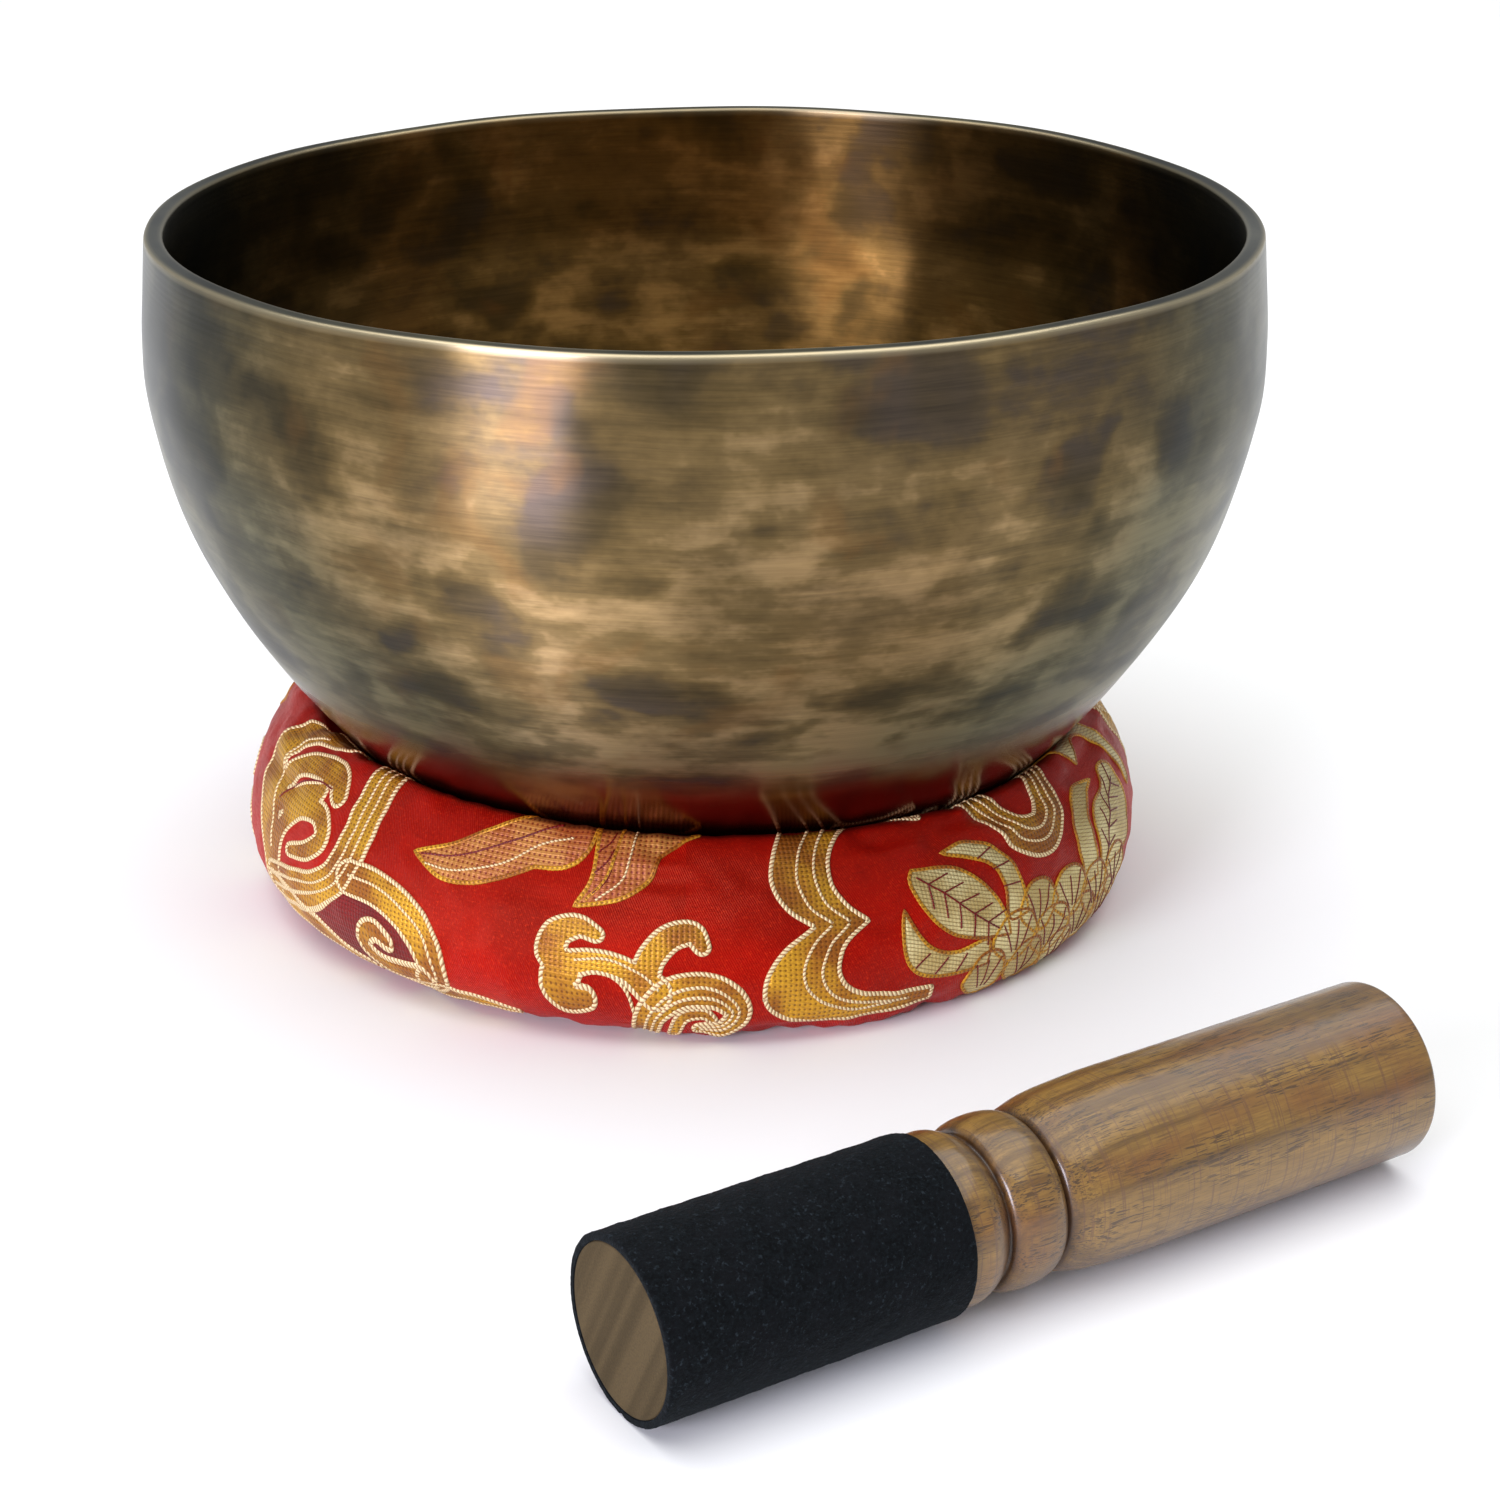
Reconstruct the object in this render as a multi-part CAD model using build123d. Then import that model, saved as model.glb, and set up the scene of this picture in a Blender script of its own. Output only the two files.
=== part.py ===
from build123d import *
import os
from math import asin, atan2, cos, degrees

# A hand-hammered bronze singing bowl on a brocade ring cushion, with its suede-wrapped mallet
# lying beside it. Millimetres, +Z up. The origin is on the table, on the axis that the bowl and
# the cushion share. The mallet lies on the table in front of the cushion.

# Bowl. Its wall is part of a sphere, standing on a flat foot.
BOWL_RADIUS = 110.0
WIDEST_HEIGHT = 118.0  # the sphere's centre above the table
RIM_HEIGHT = 138.0
FOOT_HEIGHT = 19.6  # foot above the table, held up by the cushion
FOOT_ROUNDING = 45.0
WALL_THICKNESS = 2.4
FLOOR_THICKNESS = 3.0
RIM_THICKNESS = 3.7
LIP_START = 108.0  # where the wall starts to thicken to the rim, above the table
RIM_ROUNDING = 0.6

# Ring cushion. Its tube is four quarters of ellipses on a flat ring in section.
CUSHION_RADIUS = 92.0
CUSHION_HEIGHT = 46.0  # crown of the tube before the bowl presses into it
CROWN_RADIUS = 64.0
HOLE_RADIUS = 33.0
BELLY_HEIGHT, WAIST_HEIGHT = 14.0, 11.0  # where the outside and the hole are widest
FOOT_INNER, FOOT_OUTER = 44.0, 84.0  # flat ring where the cushion rests
COVER_THICKNESS = 0.9
SEAT_GAP = 0.2  # between the bowl and the cloth pressed under it
SEAM_GAP = 0.4  # between the edges of the brocade where they are sewn together
THREAD_RADIUS = 0.25
STITCH_RADIUS = 1.4
HOLE_STITCHES = 36
JOINT_STITCHES = 8
JOINT_STITCH_PITCH = 5.0

# Mallet, measured along its axis from the striking end
MALLET_LENGTH = 151.6
CORE_RADIUS = 13.8  # striking section under the suede
GLUE_THICKNESS = 0.1
SUEDE_THICKNESS = 1.3
SUEDE_LENGTH = 55.2
SUEDE_SEAM_GAP = 0.4
BEAD_RADIUS = 14.4
NECK_RADIUS = 11.8
FIRST_NECK, SECOND_NECK = 63.8, 74.3  # the two turned grooves
GRIP_RADIUS = 15.6
GRIP_START = 92.0  # end of the grip's rounded shoulder
GRIP_ROUNDING = 0.9
MALLET_TIP = (-10.8, -206.5)  # where the striking end's centre is over the table
MALLET_HEADING = 32.4  # degrees from +X

WRAP_RADIUS = CORE_RADIUS + GLUE_THICKNESS + SUEDE_THICKNESS


def section(*edges):
    """A face in the XZ plane, where x is the radius, from edges drawn in order."""
    return make_face(Curve() + list(edges))


def turned(face):
    """The face revolved about Z."""
    return revolve(Plane.XZ * face, Axis.Z)


def bowl_wall(low, high, grow=0.0):
    """The wall's curve in section between two heights, moved outwards by grow."""
    radius = BOWL_RADIUS + grow
    start, end = (degrees(asin((height - WIDEST_HEIGHT) / radius)) for height in (low, high))
    return CenterArc((0, WIDEST_HEIGHT), radius, start, end - start)


def bowl_section(foot, wall, rounding):
    """The area inside a wall curve, down to a flat foot with a rounded edge."""
    start, end = wall @ 0, wall @ 1
    face = section(
        Line((0, foot), start),
        wall,
        Line(end, (0, end.Y)),
        Line((0, end.Y), (0, foot)),
    )
    return fillet(face.vertices().sort_by_distance(start)[0], rounding)


def make_bowl():
    floor = FOOT_HEIGHT + FLOOR_THICKNESS
    outer_wall = bowl_wall(FOOT_HEIGHT, RIM_HEIGHT)
    inner_wall = bowl_wall(floor, LIP_START, -WALL_THICKNESS)
    rim = outer_wall @ 1 - Vector(RIM_THICKNESS, 0)
    lip = TangentArc(inner_wall @ 1, rim, tangent=inner_wall % 1)
    outside = bowl_section(FOOT_HEIGHT, outer_wall, FOOT_ROUNDING)
    inside = bowl_section(floor, Curve() + [inner_wall, lip], FOOT_ROUNDING - FLOOR_THICKNESS)
    bowl = turned(outside - inside)
    return fillet(bowl.edges().group_by(Axis.Z)[-1], RIM_ROUNDING)


def bowl_space(gap):
    """What the bowl and its inside fill, grown by gap."""
    foot = FOOT_HEIGHT - gap
    return turned(bowl_section(foot, bowl_wall(foot, RIM_HEIGHT, gap), FOOT_ROUNDING + gap))


def tube_outline(inset=0.0):
    """The cushion's tube in section, from the outside of its foot over the crown to the hole."""
    above_belly = CUSHION_HEIGHT - BELLY_HEIGHT
    above_waist = CUSHION_HEIGHT - WAIST_HEIGHT
    quarters = [
        # radius and height of the centre, reach across and up, starting angle
        (FOOT_OUTER, BELLY_HEIGHT, CUSHION_RADIUS - FOOT_OUTER, BELLY_HEIGHT, 270),
        (CROWN_RADIUS, BELLY_HEIGHT, CUSHION_RADIUS - CROWN_RADIUS, above_belly, 0),
        (CROWN_RADIUS, WAIST_HEIGHT, CROWN_RADIUS - HOLE_RADIUS, above_waist, 90),
        (FOOT_INNER, WAIST_HEIGHT, FOOT_INNER - HOLE_RADIUS, WAIST_HEIGHT, 180),
    ]
    return [
        EllipticalCenterArc((radius, height), across - inset, up - inset, start, arc_size=90)
        for radius, height, across, up, start in quarters
    ]


def tube(inset=0.0):
    """The cushion's tube, shrunk by inset and dented by the bowl."""
    foot = Line((FOOT_INNER, inset), (FOOT_OUTER, inset))
    return turned(section(*tube_outline(inset), foot)) - bowl_space(SEAT_GAP + inset)


def make_cover(filling):
    """A strip of brocade rolled into a tube. Its long edges meet in the hole and its ends at the back."""
    seam = Pos(0, 0, WAIST_HEIGHT) * Cylinder(FOOT_INNER, SEAM_GAP)
    ends = Pos(0, CUSHION_RADIUS, RIM_HEIGHT / 2) * Box(SEAM_GAP, 2 * CUSHION_RADIUS, RIM_HEIGHT)
    return tube() - filling - seam - ends


def stitch(centre, across, out):
    """A ring of thread round a seam. It crosses the seam along across and stands out along out."""
    normal = Vector(*across).cross(Vector(*out))
    return Plane(centre, x_dir=across, z_dir=normal) * Torus(STITCH_RADIUS, THREAD_RADIUS)


def make_hole_stitches():
    wall = HOLE_RADIUS + COVER_THICKNESS / 2
    one = stitch((wall, 0, WAIST_HEIGHT), (0, 0, 1), (-1, 0, 0))
    return Compound([Rot(0, 0, 360 * k / HOLE_STITCHES) * one for k in range(HOLE_STITCHES)])


def make_joint_stitches():
    """Stitches over the ends of the brocade strip, up the back from the table to the bowl."""
    outline = Wire(tube_outline(COVER_THICKNESS / 2))
    stitches = []
    for k in range(JOINT_STITCHES):
        share = (k + 1) * JOINT_STITCH_PITCH / outline.length
        point, along = outline @ share, outline % share
        stitches.append(stitch((0, point.X, point.Y), (1, 0, 0), (0, along.Y, -along.X)))
    return Compound(stitches)


def make_mallet_wood():
    """Core, two beads and grip, turned from one piece. Lies along +X from the striking end."""
    first_bead = Spline(
        (SUEDE_LENGTH, BEAD_RADIUS - 0.2),
        (SUEDE_LENGTH + 3.6, BEAD_RADIUS),
        (FIRST_NECK, NECK_RADIUS),
        tangents=[(1, 0.1), (0.25, -1)],
    )
    second_bead = Spline(
        (FIRST_NECK, NECK_RADIUS),
        ((FIRST_NECK + SECOND_NECK) / 2, BEAD_RADIUS),
        (SECOND_NECK, NECK_RADIUS),
        tangents=[(0.25, 1), (0.25, -1)],
    )
    shoulder = Spline(
        (SECOND_NECK, NECK_RADIUS),
        (SECOND_NECK + 5, GRIP_RADIUS - 1.6),
        (GRIP_START, GRIP_RADIUS),
        tangents=[(0.3, 1), (1, 0)],
    )
    face = make_face(
        Curve()
        + [
            Line((0, 0), (0, CORE_RADIUS)),
            Line((0, CORE_RADIUS), (SUEDE_LENGTH, CORE_RADIUS)),
            Line((SUEDE_LENGTH, CORE_RADIUS), (SUEDE_LENGTH, BEAD_RADIUS - 0.2)),
            first_bead,
            second_bead,
            shoulder,
            Line((GRIP_START, GRIP_RADIUS), (MALLET_LENGTH, GRIP_RADIUS)),
            Line((MALLET_LENGTH, GRIP_RADIUS), (MALLET_LENGTH, 0)),
            Line((MALLET_LENGTH, 0), (0, 0)),
        ]
    )
    wood = revolve(face, Axis.X)
    return fillet(wood.edges().group_by(Axis.X)[-1], GRIP_ROUNDING)


def sleeve(inner, outer):
    """A sheet rolled round the core, with a butt seam along the underside."""
    ring = Rot(0, 90, 0) * (
        Cylinder(outer, SUEDE_LENGTH, align=(Align.CENTER, Align.CENTER, Align.MIN))
        - Cylinder(inner, SUEDE_LENGTH, align=(Align.CENTER, Align.CENTER, Align.MIN))
    )
    seam = Pos(SUEDE_LENGTH / 2, outer, 0) * Box(SUEDE_LENGTH, outer, SUEDE_SEAM_GAP)
    return ring - seam


def lying(shape):
    """Lays the mallet on the table. The grip is wider than the suede, so its axis rises a little."""
    rise = atan2(GRIP_RADIUS - WRAP_RADIUS, GRIP_START)
    place = Pos(*MALLET_TIP, WRAP_RADIUS * cos(rise)) * Rot(0, 0, MALLET_HEADING)
    return place * Rot(0, -degrees(rise), 0) * shape


def main():
    filling = tube(COVER_THICKNESS)
    nodes = {
        "bowl": make_bowl(),
        "cushion_cover": make_cover(filling),
        "cushion_filling": filling,
        "hole_seam_stitches": make_hole_stitches(),
        "end_joint_stitches": make_joint_stitches(),
        "mallet_wood": lying(make_mallet_wood()),
        "suede_glue": lying(sleeve(CORE_RADIUS, CORE_RADIUS + GLUE_THICKNESS)),
        "suede_wrap": lying(sleeve(CORE_RADIUS + GLUE_THICKNESS, WRAP_RADIUS)),
    }
    os.makedirs("parts", exist_ok=True)
    for name, shape in nodes.items():
        export_step(shape, f"parts/{name}.step")


main()
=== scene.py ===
import math

import bmesh
import bpy
import numpy as np
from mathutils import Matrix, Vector
from mathutils.geometry import delaunay_2d_cdt


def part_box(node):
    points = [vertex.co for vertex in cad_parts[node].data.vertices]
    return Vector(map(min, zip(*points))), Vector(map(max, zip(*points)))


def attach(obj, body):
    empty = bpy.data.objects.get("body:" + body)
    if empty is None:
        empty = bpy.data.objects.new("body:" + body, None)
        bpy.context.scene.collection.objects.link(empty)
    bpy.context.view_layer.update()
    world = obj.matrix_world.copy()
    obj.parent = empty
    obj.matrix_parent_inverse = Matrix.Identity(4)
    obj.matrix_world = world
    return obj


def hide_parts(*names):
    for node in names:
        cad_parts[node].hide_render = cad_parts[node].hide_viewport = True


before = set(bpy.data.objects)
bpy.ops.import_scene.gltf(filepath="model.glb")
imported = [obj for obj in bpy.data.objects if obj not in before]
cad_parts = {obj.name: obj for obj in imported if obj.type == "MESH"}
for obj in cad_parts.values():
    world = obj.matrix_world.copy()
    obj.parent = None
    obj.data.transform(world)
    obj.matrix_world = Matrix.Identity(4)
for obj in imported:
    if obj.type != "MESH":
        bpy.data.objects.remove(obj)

# The looks of a singing bowl on its ring cushion, with its mallet. Lengths are in millimetres
# and turn into metres when a mesh is made. Angles round the bowl and the cushion start at the
# front, where the mallet lies, and grow towards +X.

MM = 0.001
BOWL_SEED, CLOTH_SEED, SUEDE_SEED = 11, 5, 3
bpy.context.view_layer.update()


# Places and sizes that come from the frame

def box_mm(node):
    low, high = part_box(node)
    return np.array(low) / MM, np.array(high) / MM


def node_points(node):
    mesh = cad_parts[node].data
    co = np.empty(len(mesh.vertices) * 3)
    mesh.vertices.foreach_get("co", co)
    return co.reshape(-1, 3) / MM


bowl_low, bowl_high = box_mm("bowl")
BOWL_RADIUS = bowl_high[0]
RIM_HEIGHT = bowl_high[2]
FOOT_HEIGHT = bowl_low[2]
CUSHION_RADIUS = box_mm("cushion_cover")[1][0]

# Bowl: radius of its outside at heights above the table, from the foot to the rim
BOWL_OUTSIDE = [
    (38.0, FOOT_HEIGHT),
    (52.0, FOOT_HEIGHT + 2.4),
    (68.0, 30.4),
    (86.0, 50.0),
    (101.8, 76.0),
    (109.2, 102.0),
    (BOWL_RADIUS, 118.0),
    (BOWL_RADIUS - 1.6, RIM_HEIGHT),
]
BOWL_AROUND = 400  # points round the bowl
BOWL_STEP, COARSE_STEP, COLLIDER_STEP = 1.6, 3.0, 4.0  # between points up the wall
FLOOR_POINTS = 22  # from the axis to where the wall starts, inside and outside
EDGE_POINTS, FLAT_POINTS = 5, 6  # of the rim's roundings and its flat top
WALL_THICKNESS = 2.4
RIM_THICKNESS = 3.7
LIP_HEIGHT = 30.0  # the wall thickens over this height below the rim
RIM_ROUNDING = 0.7
EDGE_WEAR = 0.6  # how far the rubbed metal reaches from the edges of the rim
DENTS = 620
DENT_SIZES, DENT_DEPTHS = (5.0, 10.0), (0.04, 0.17)
DENTS_START, DENTS_FULL = 30.0, 50.0  # from the axis
DENTS_TOP = RIM_HEIGHT - 4.0
MEAN_DENT = 0.16  # the wall starts this far out, so that the dents leave its size as it is
UNEVEN_HEIGHT = 80.0  # the rim's unevenness starts here

# Cushion
CROWN_RADIUS, CROWN_HEIGHT = 64.0, 46.0
HOLE_RADIUS = 33.0
BELLY_HEIGHT, WAIST_HEIGHT = 14.0, 11.0
FOOT_INNER, FOOT_OUTER = 44.0, 84.0
CUSHION_SHIFT = -3.0  # the cushion is a little off the bowl's axis, along X
COVER_THICKNESS = 0.9
FILLING_GAP = 0.5
BOWL_CLEARANCE = 1.0  # under the bowl, with room for the raised threads
SLACK_ANGLE, SLACK_SPREAD = math.radians(-40), math.radians(45)  # where it is rounder underneath
SLACK_INSET, SLACK_LIFT = 12.0, 3.0
CROWN_DROP = 6.0  # how much lower the crown is at the right than at the left
PART_STEPS = (6, 16, 18, 6, 14)  # steps of the simulated grid along each part of the tube
AROUND = 184  # points of the simulated grid round the ring
FINER = 3  # the finished cover has this many points for each simulated one
QUARTER_POINTS, FOOT_POINTS = 24, 40  # of the tube's section, before it is divided evenly
PAINTED_SHADE_REACH = 4.0  # of the painted shade where the bowl presses on the cloth
PAINTED_SHADE_START, PAINTED_SHADE_FULL = 18.0, 34.0  # the painted shade comes in between these heights up the tube

# Cloth simulation of the cushion's cover
CLOTH_FRAMES = 22
CLOTH_SETTINGS = {
    "quality": 6, "mass": 0.15, "tension_stiffness": 25.0, "compression_stiffness": 8.0,
    "shear_stiffness": 4.0, "bending_stiffness": 0.15, "air_damping": 4.0,
    "use_pressure": True, "uniform_pressure_force": 4.0,
}
CLOTH_GAP, COLLIDER_GAP = 0.6, 0.4
CLOTH_FRICTION = 20.0
COLLIDER_AROUND = 96
TABLE_HALF = 200.0
GATHER, STRETCH = 0.82, 1.06  # the rest shape's section is narrower and taller, so the cloth wrinkles
START_NOISE = 0.12
WRINKLE_REACH = 3.5  # how far a wrinkle may move the cloth
SIDEWAYS_SHARE = 0.2  # of the cloth's sideways wrinkling that is kept

# Brocade motifs and stitches
MOTIF_STEP, FILL_STEP, CORD_STEP = 0.9, 1.25, 0.45
FILL_OFFSETS = (0.3, 0.2)  # so that no point of the filling's grid lies on an outline
FILL_LIFT, CORD_LIFT, LAYER_LIFT = 0.16, 0.26, 0.08
LINE_LIFT = 0.04  # of a line inside a motif, above the cord round it
PATCH_DEPTH, CORD_DEPTH = -0.25, -0.2  # how far their undersides sink into the cloth
CORD_WIDTH = 1.2
CORD_WAVE = 0.09  # steps along a cord are wider and narrower in turn, by this share
CORD_SHOULDER = 0.55  # the cord's flat top, as a share of its width
STRIPE_WIDTH, SPINE_WIDTH, RIB_WIDTH = 0.8, 0.5, 0.45
VEIN_LENGTH, VEIN_SLANT, VEIN_SPACING = 5.0, 0.8, 4
PICK_PITCH = 0.42  # of the cross threads in a filling
COUCHING_PITCH = 0.9  # of the short stitches along an outline cord
HOLE_STITCHES, JOINT_STITCHES = 36, 8
JOINT_PITCH = 5.0
STITCH_REACH, STITCH_SLANT = 1.5, 0.375  # half a stitch, across its seam and along it
STITCH_WIDTH, STITCH_LIFT, STITCH_POINTS = 0.55, 0.42, 8

# Mallet, measured along its axis from the striking end
CORE_RADIUS, WRAP_RADIUS = 13.8, 15.2
SUEDE_LENGTH = 55.2
BEAD_RADIUS, NECK_RADIUS = 14.4, 11.8
FIRST_NECK, SECOND_NECK = 63.8, 74.3
GRIP_RADIUS, GRIP_START = 15.6, 92.0
END_ROUNDING = 0.9
END_REACH = 0.8  # the mallet's ends are found from the points this near to them
WOOD_AROUND, SUEDE_AROUND, GLUE_AROUND = 220, 260, 96  # points round each piece
RIDGE_HEIGHT, RIDGE_PITCH = 0.012, 1.15  # left by turning
OUT_OF_ROUND = 0.03
SUEDE_EDGE = 0.35
NAP_WAVES, NAP_HEIGHT, NAP_FUZZ = 40, 0.035, 0.022
SEAM_WIDTH, SEAM_DEPTH = 0.35, 0.8
GLUE_THICKNESS = 0.12
SMALL_GAP = 0.02  # keeps faces apart that would touch

# Stage, and the camera as fitted to the photo: its place in metres, and its tilt below the horizon
FLOOR_HALF = 4000.0
CAMERA_PLACE = (0.0087, -0.5968, 0.2702)
CAMERA_TILT = math.radians(22.46)
LENS, SENSOR_WIDTH = 73.8, 36.0


# Curves and meshes

def cubic(a, b, c, d, t):
    """The Catmull-Rom curve from b to c, at shares t of the way."""
    return b + (c - a) * t / 2 + (2 * a - 5 * b + 4 * c - d) * t**2 / 2 + (3 * b - a - 3 * c + d) * t**3 / 2


def smooth_line(points, step=1.0):
    """A smooth curve through points, sampled about every step."""
    points = np.asarray(points, float)
    run = np.vstack([2 * points[0] - points[1], points, 2 * points[-1] - points[-2]])
    pieces = []
    for a, b, c, d in zip(run, run[1:], run[2:], run[3:]):
        count = max(2, round(np.linalg.norm(c - b) / step))
        pieces.append(cubic(a, b, c, d, np.arange(count)[:, None] / count))
    return np.vstack([*pieces, points[-1:]])


def finer(points, axis):
    """A closed grid with FINER points for each one along one axis, on smooth curves."""
    a, b, c, d = (np.roll(points, k, axis=axis) for k in (1, 0, -1, -2))
    rows = np.stack([cubic(a, b, c, d, k / FINER) for k in range(FINER)], axis=axis + 1)
    shape = list(points.shape)
    shape[axis] *= FINER
    return rows.reshape(shape)


def arc_length(line):
    return np.concatenate([[0], np.cumsum(np.linalg.norm(np.diff(line, axis=0), axis=1))])


def closed_length(line):
    return arc_length(np.vstack([line, line[:1]]))[-1]


def evenly(line, count):
    """count points at equal distances along a line."""
    length = arc_length(line)
    at = np.linspace(0, length[-1], count)
    return np.stack([np.interp(at, length, line[:, k]) for k in range(line.shape[1])], axis=1)


def unit_and_left(along):
    """Unit vectors along a plane curve's tangents, and to their left."""
    along = along / np.maximum(np.linalg.norm(along, axis=1), 1e-9)[:, None]
    return along, np.stack([-along[:, 1], along[:, 0]], axis=1)


def turn_angles(count):
    return np.arange(count) * 2 * np.pi / count


def turned_grid(outlines, around, shift=0.0):
    """A grid of points from one outline, or from one outline for each angle."""
    angle = turn_angles(around)[:, None]
    outlines = np.broadcast_to(outlines, (around, *np.shape(outlines)[-2:]))
    r, z = outlines[..., 0], outlines[..., 1]
    return np.stack([r * np.sin(angle) + shift, -r * np.cos(angle), z], axis=2)


def grid_faces(n, m, wrap_n=True, wrap_m=True):
    """Quads over an n by m grid of points, and each corner's (i, j)."""
    rows, columns = np.arange(n if wrap_n else n - 1), np.arange(m if wrap_m else m - 1)
    i, j = (part.ravel() for part in np.meshgrid(rows, columns, indexing="ij"))
    corners = np.stack([np.stack([i, i + 1, i + 1, i], 1), np.stack([j, j, j + 1, j + 1], 1)], axis=2)
    return (corners[..., 0] % n) * m + corners[..., 1] % m, corners


def grid_normals(grid):
    """The outward unit vector at each point of a closed grid."""
    across = np.roll(grid, -1, 0) - np.roll(grid, 1, 0)
    along = np.roll(grid, -1, 1) - np.roll(grid, 1, 1)
    normal = np.cross(across, along)
    return normal / np.linalg.norm(normal, axis=2, keepdims=True)


def link(name, data):
    """Puts an object with this mesh, light or camera in the scene."""
    obj = bpy.data.objects.new(name, data)
    bpy.context.scene.collection.objects.link(obj)
    return obj


def add_object(name, points, faces, material=None):
    """A smooth-shaded mesh from points in millimetres."""
    mesh = bpy.data.meshes.new(name)
    faces = [[int(k) for k in face] for face in faces]
    mesh.from_pydata((np.asarray(points).reshape(-1, 3) * MM).tolist(), [], faces)
    mesh.shade_smooth()
    if material is not None:
        mesh.materials.append(material)
    return link(name, mesh)


def settle(piece, body, slot, *nodes):
    """Puts a finished piece on its body, in place of CAD nodes. The slot is not used."""
    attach(piece, body)
    if nodes:
        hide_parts(*nodes)


def set_attribute(obj, name, values):
    """A number or a vector on each point, for the material."""
    values = np.asarray(values, np.float32)
    kind, key = ("FLOAT_VECTOR", "vector") if values.ndim == 2 else ("FLOAT", "value")
    obj.data.attributes.new(name, kind, "POINT").data.foreach_set(key, values.ravel())


def merge_poles(obj):
    """Joins the points that lie on one spot, where a turned shape meets its axis."""
    work = bmesh.new()
    work.from_mesh(obj.data)
    bmesh.ops.remove_doubles(work, verts=work.verts, dist=1e-7)
    bmesh.ops.recalc_face_normals(work, faces=work.faces)
    work.to_mesh(obj.data)
    work.free()


# Materials

def rgb(red, green, blue):
    """A colour from screen values of 0 to 255."""
    def linear(value):
        value /= 255
        return value / 12.92 if value <= 0.04045 else ((value + 0.055) / 1.055) ** 2.4
    return (linear(red), linear(green), linear(blue), 1.0)


class Paint:
    """A material's node tree. Each method adds a node and gives its output."""

    def __init__(self, name):
        self.material = bpy.data.materials.new(name)
        self.material.use_nodes = True
        self.tree = self.material.node_tree
        self.shader = next(n for n in self.tree.nodes if n.type == "BSDF_PRINCIPLED")

    def feed(self, socket, value):
        if isinstance(value, bpy.types.NodeSocket):
            self.tree.links.new(value, socket)
        else:
            socket.default_value = value

    def add(self, kind, inputs, output=0, **settings):
        node = self.tree.nodes.new("ShaderNode" + kind)
        for key, value in settings.items():
            setattr(node, key, value)
        for key, value in inputs.items():
            self.feed(node.inputs[key], value)
        return node.outputs[output]

    def finish(self, **values):
        """Sets the surface's inputs, with _ for a space in their names."""
        for key, value in values.items():
            self.feed(self.shader.inputs[key.replace("_", " ")], value)
        return self.material

    def attribute(self, name):
        """A vector on each point."""
        return self.add("Attribute", {}, "Vector", attribute_name=name)

    def number(self, name):
        """A number on each point."""
        return self.add("Attribute", {}, "Fac", attribute_name=name)

    def scaled(self, vector, x, y, z):
        return self.add("VectorMath", {0: vector, 1: (x, y, z)}, operation="MULTIPLY")

    def split(self, vector):
        node = self.tree.nodes.new("ShaderNodeSeparateXYZ")
        self.feed(node.inputs[0], vector)
        return node.outputs[0], node.outputs[1], node.outputs[2]

    def join(self, x, y, z):
        return self.add("CombineXYZ", {0: x, 1: y, 2: z})

    def math(self, operation, a, b=0.0):
        return self.add("Math", {0: a, 1: b}, operation=operation)

    def times(self, a, b):
        return self.math("MULTIPLY", a, b)

    def less(self, a, b):
        return self.math("SUBTRACT", a, b)

    def sum(self, first, *others):
        for other in others:
            first = self.math("ADD", first, other)
        return first

    def radius(self, x, y):
        return self.math("SQRT", self.sum(self.times(x, x), self.times(y, y)))

    def wave(self, value, per_unit):
        return self.math("SINE", self.times(value, per_unit))

    def noise(self, vector, scale, detail=4.0, rough=0.5, distortion=0.0):
        inputs = {"Vector": vector, "Scale": scale, "Detail": detail, "Roughness": rough}
        return self.add("TexNoise", {**inputs, "Distortion": distortion})

    def ramp(self, value, low, high, out_low=0.0, out_high=1.0):
        """value from low..high to out_low..out_high, smoothly and clamped."""
        inputs = {"Value": value, "From Min": low, "From Max": high, "To Min": out_low, "To Max": out_high}
        return self.add("MapRange", inputs, interpolation_type="SMOOTHSTEP")

    def mix(self, factor, first, second, blend="MIX"):
        return self.add("MixRGB", {"Fac": factor, "Color1": first, "Color2": second}, blend_type=blend)

    def tint(self, factor, colour, by):
        return self.mix(factor, colour, self.mix(1.0, colour, by, "MULTIPLY"))

    def grained(self, factor, colour, value, dark, light):
        """The colour, made darker and lighter where value is low and high."""
        return self.mix(factor, colour, self.mix(value, dark, light), "SOFT_LIGHT")

    def colours(self, value, stops):
        """A colour for each value from 0 to 1, between stops of (value, colour)."""
        node = self.tree.nodes.new("ShaderNodeValToRGB")
        elements = node.color_ramp.elements
        while len(elements) < len(stops):
            elements.new(0.5)
        for element, (at, colour) in zip(elements, stops):
            element.position = at
            element.color = colour
        self.feed(node.inputs[0], value)
        return node.outputs[0]

    def painted_crease_shade(self, colour, height):
        """Painted shade: the cloth's colour, darker in the crease where the bowl presses on it, found by
        ambient occlusion, and at least a fifth darker everywhere past the shade's start, as painted shadow of
        the bowl.
        """
        open_sky = self.add("AmbientOcclusion", {"Distance": PAINTED_SHADE_REACH * MM}, "AO")
        shade = self.ramp(open_sky, 0.25, 0.85, 0.2, 0.8)
        shaded = self.add("VectorMath", {0: colour, "Scale": shade}, operation="SCALE")
        return self.mix(self.ramp(height, PAINTED_SHADE_START, PAINTED_SHADE_FULL), colour, shaded)

    def bump(self, height, strength, distance):
        return self.add("Bump", {"Height": height, "Strength": strength, "Distance": distance * MM})


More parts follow.
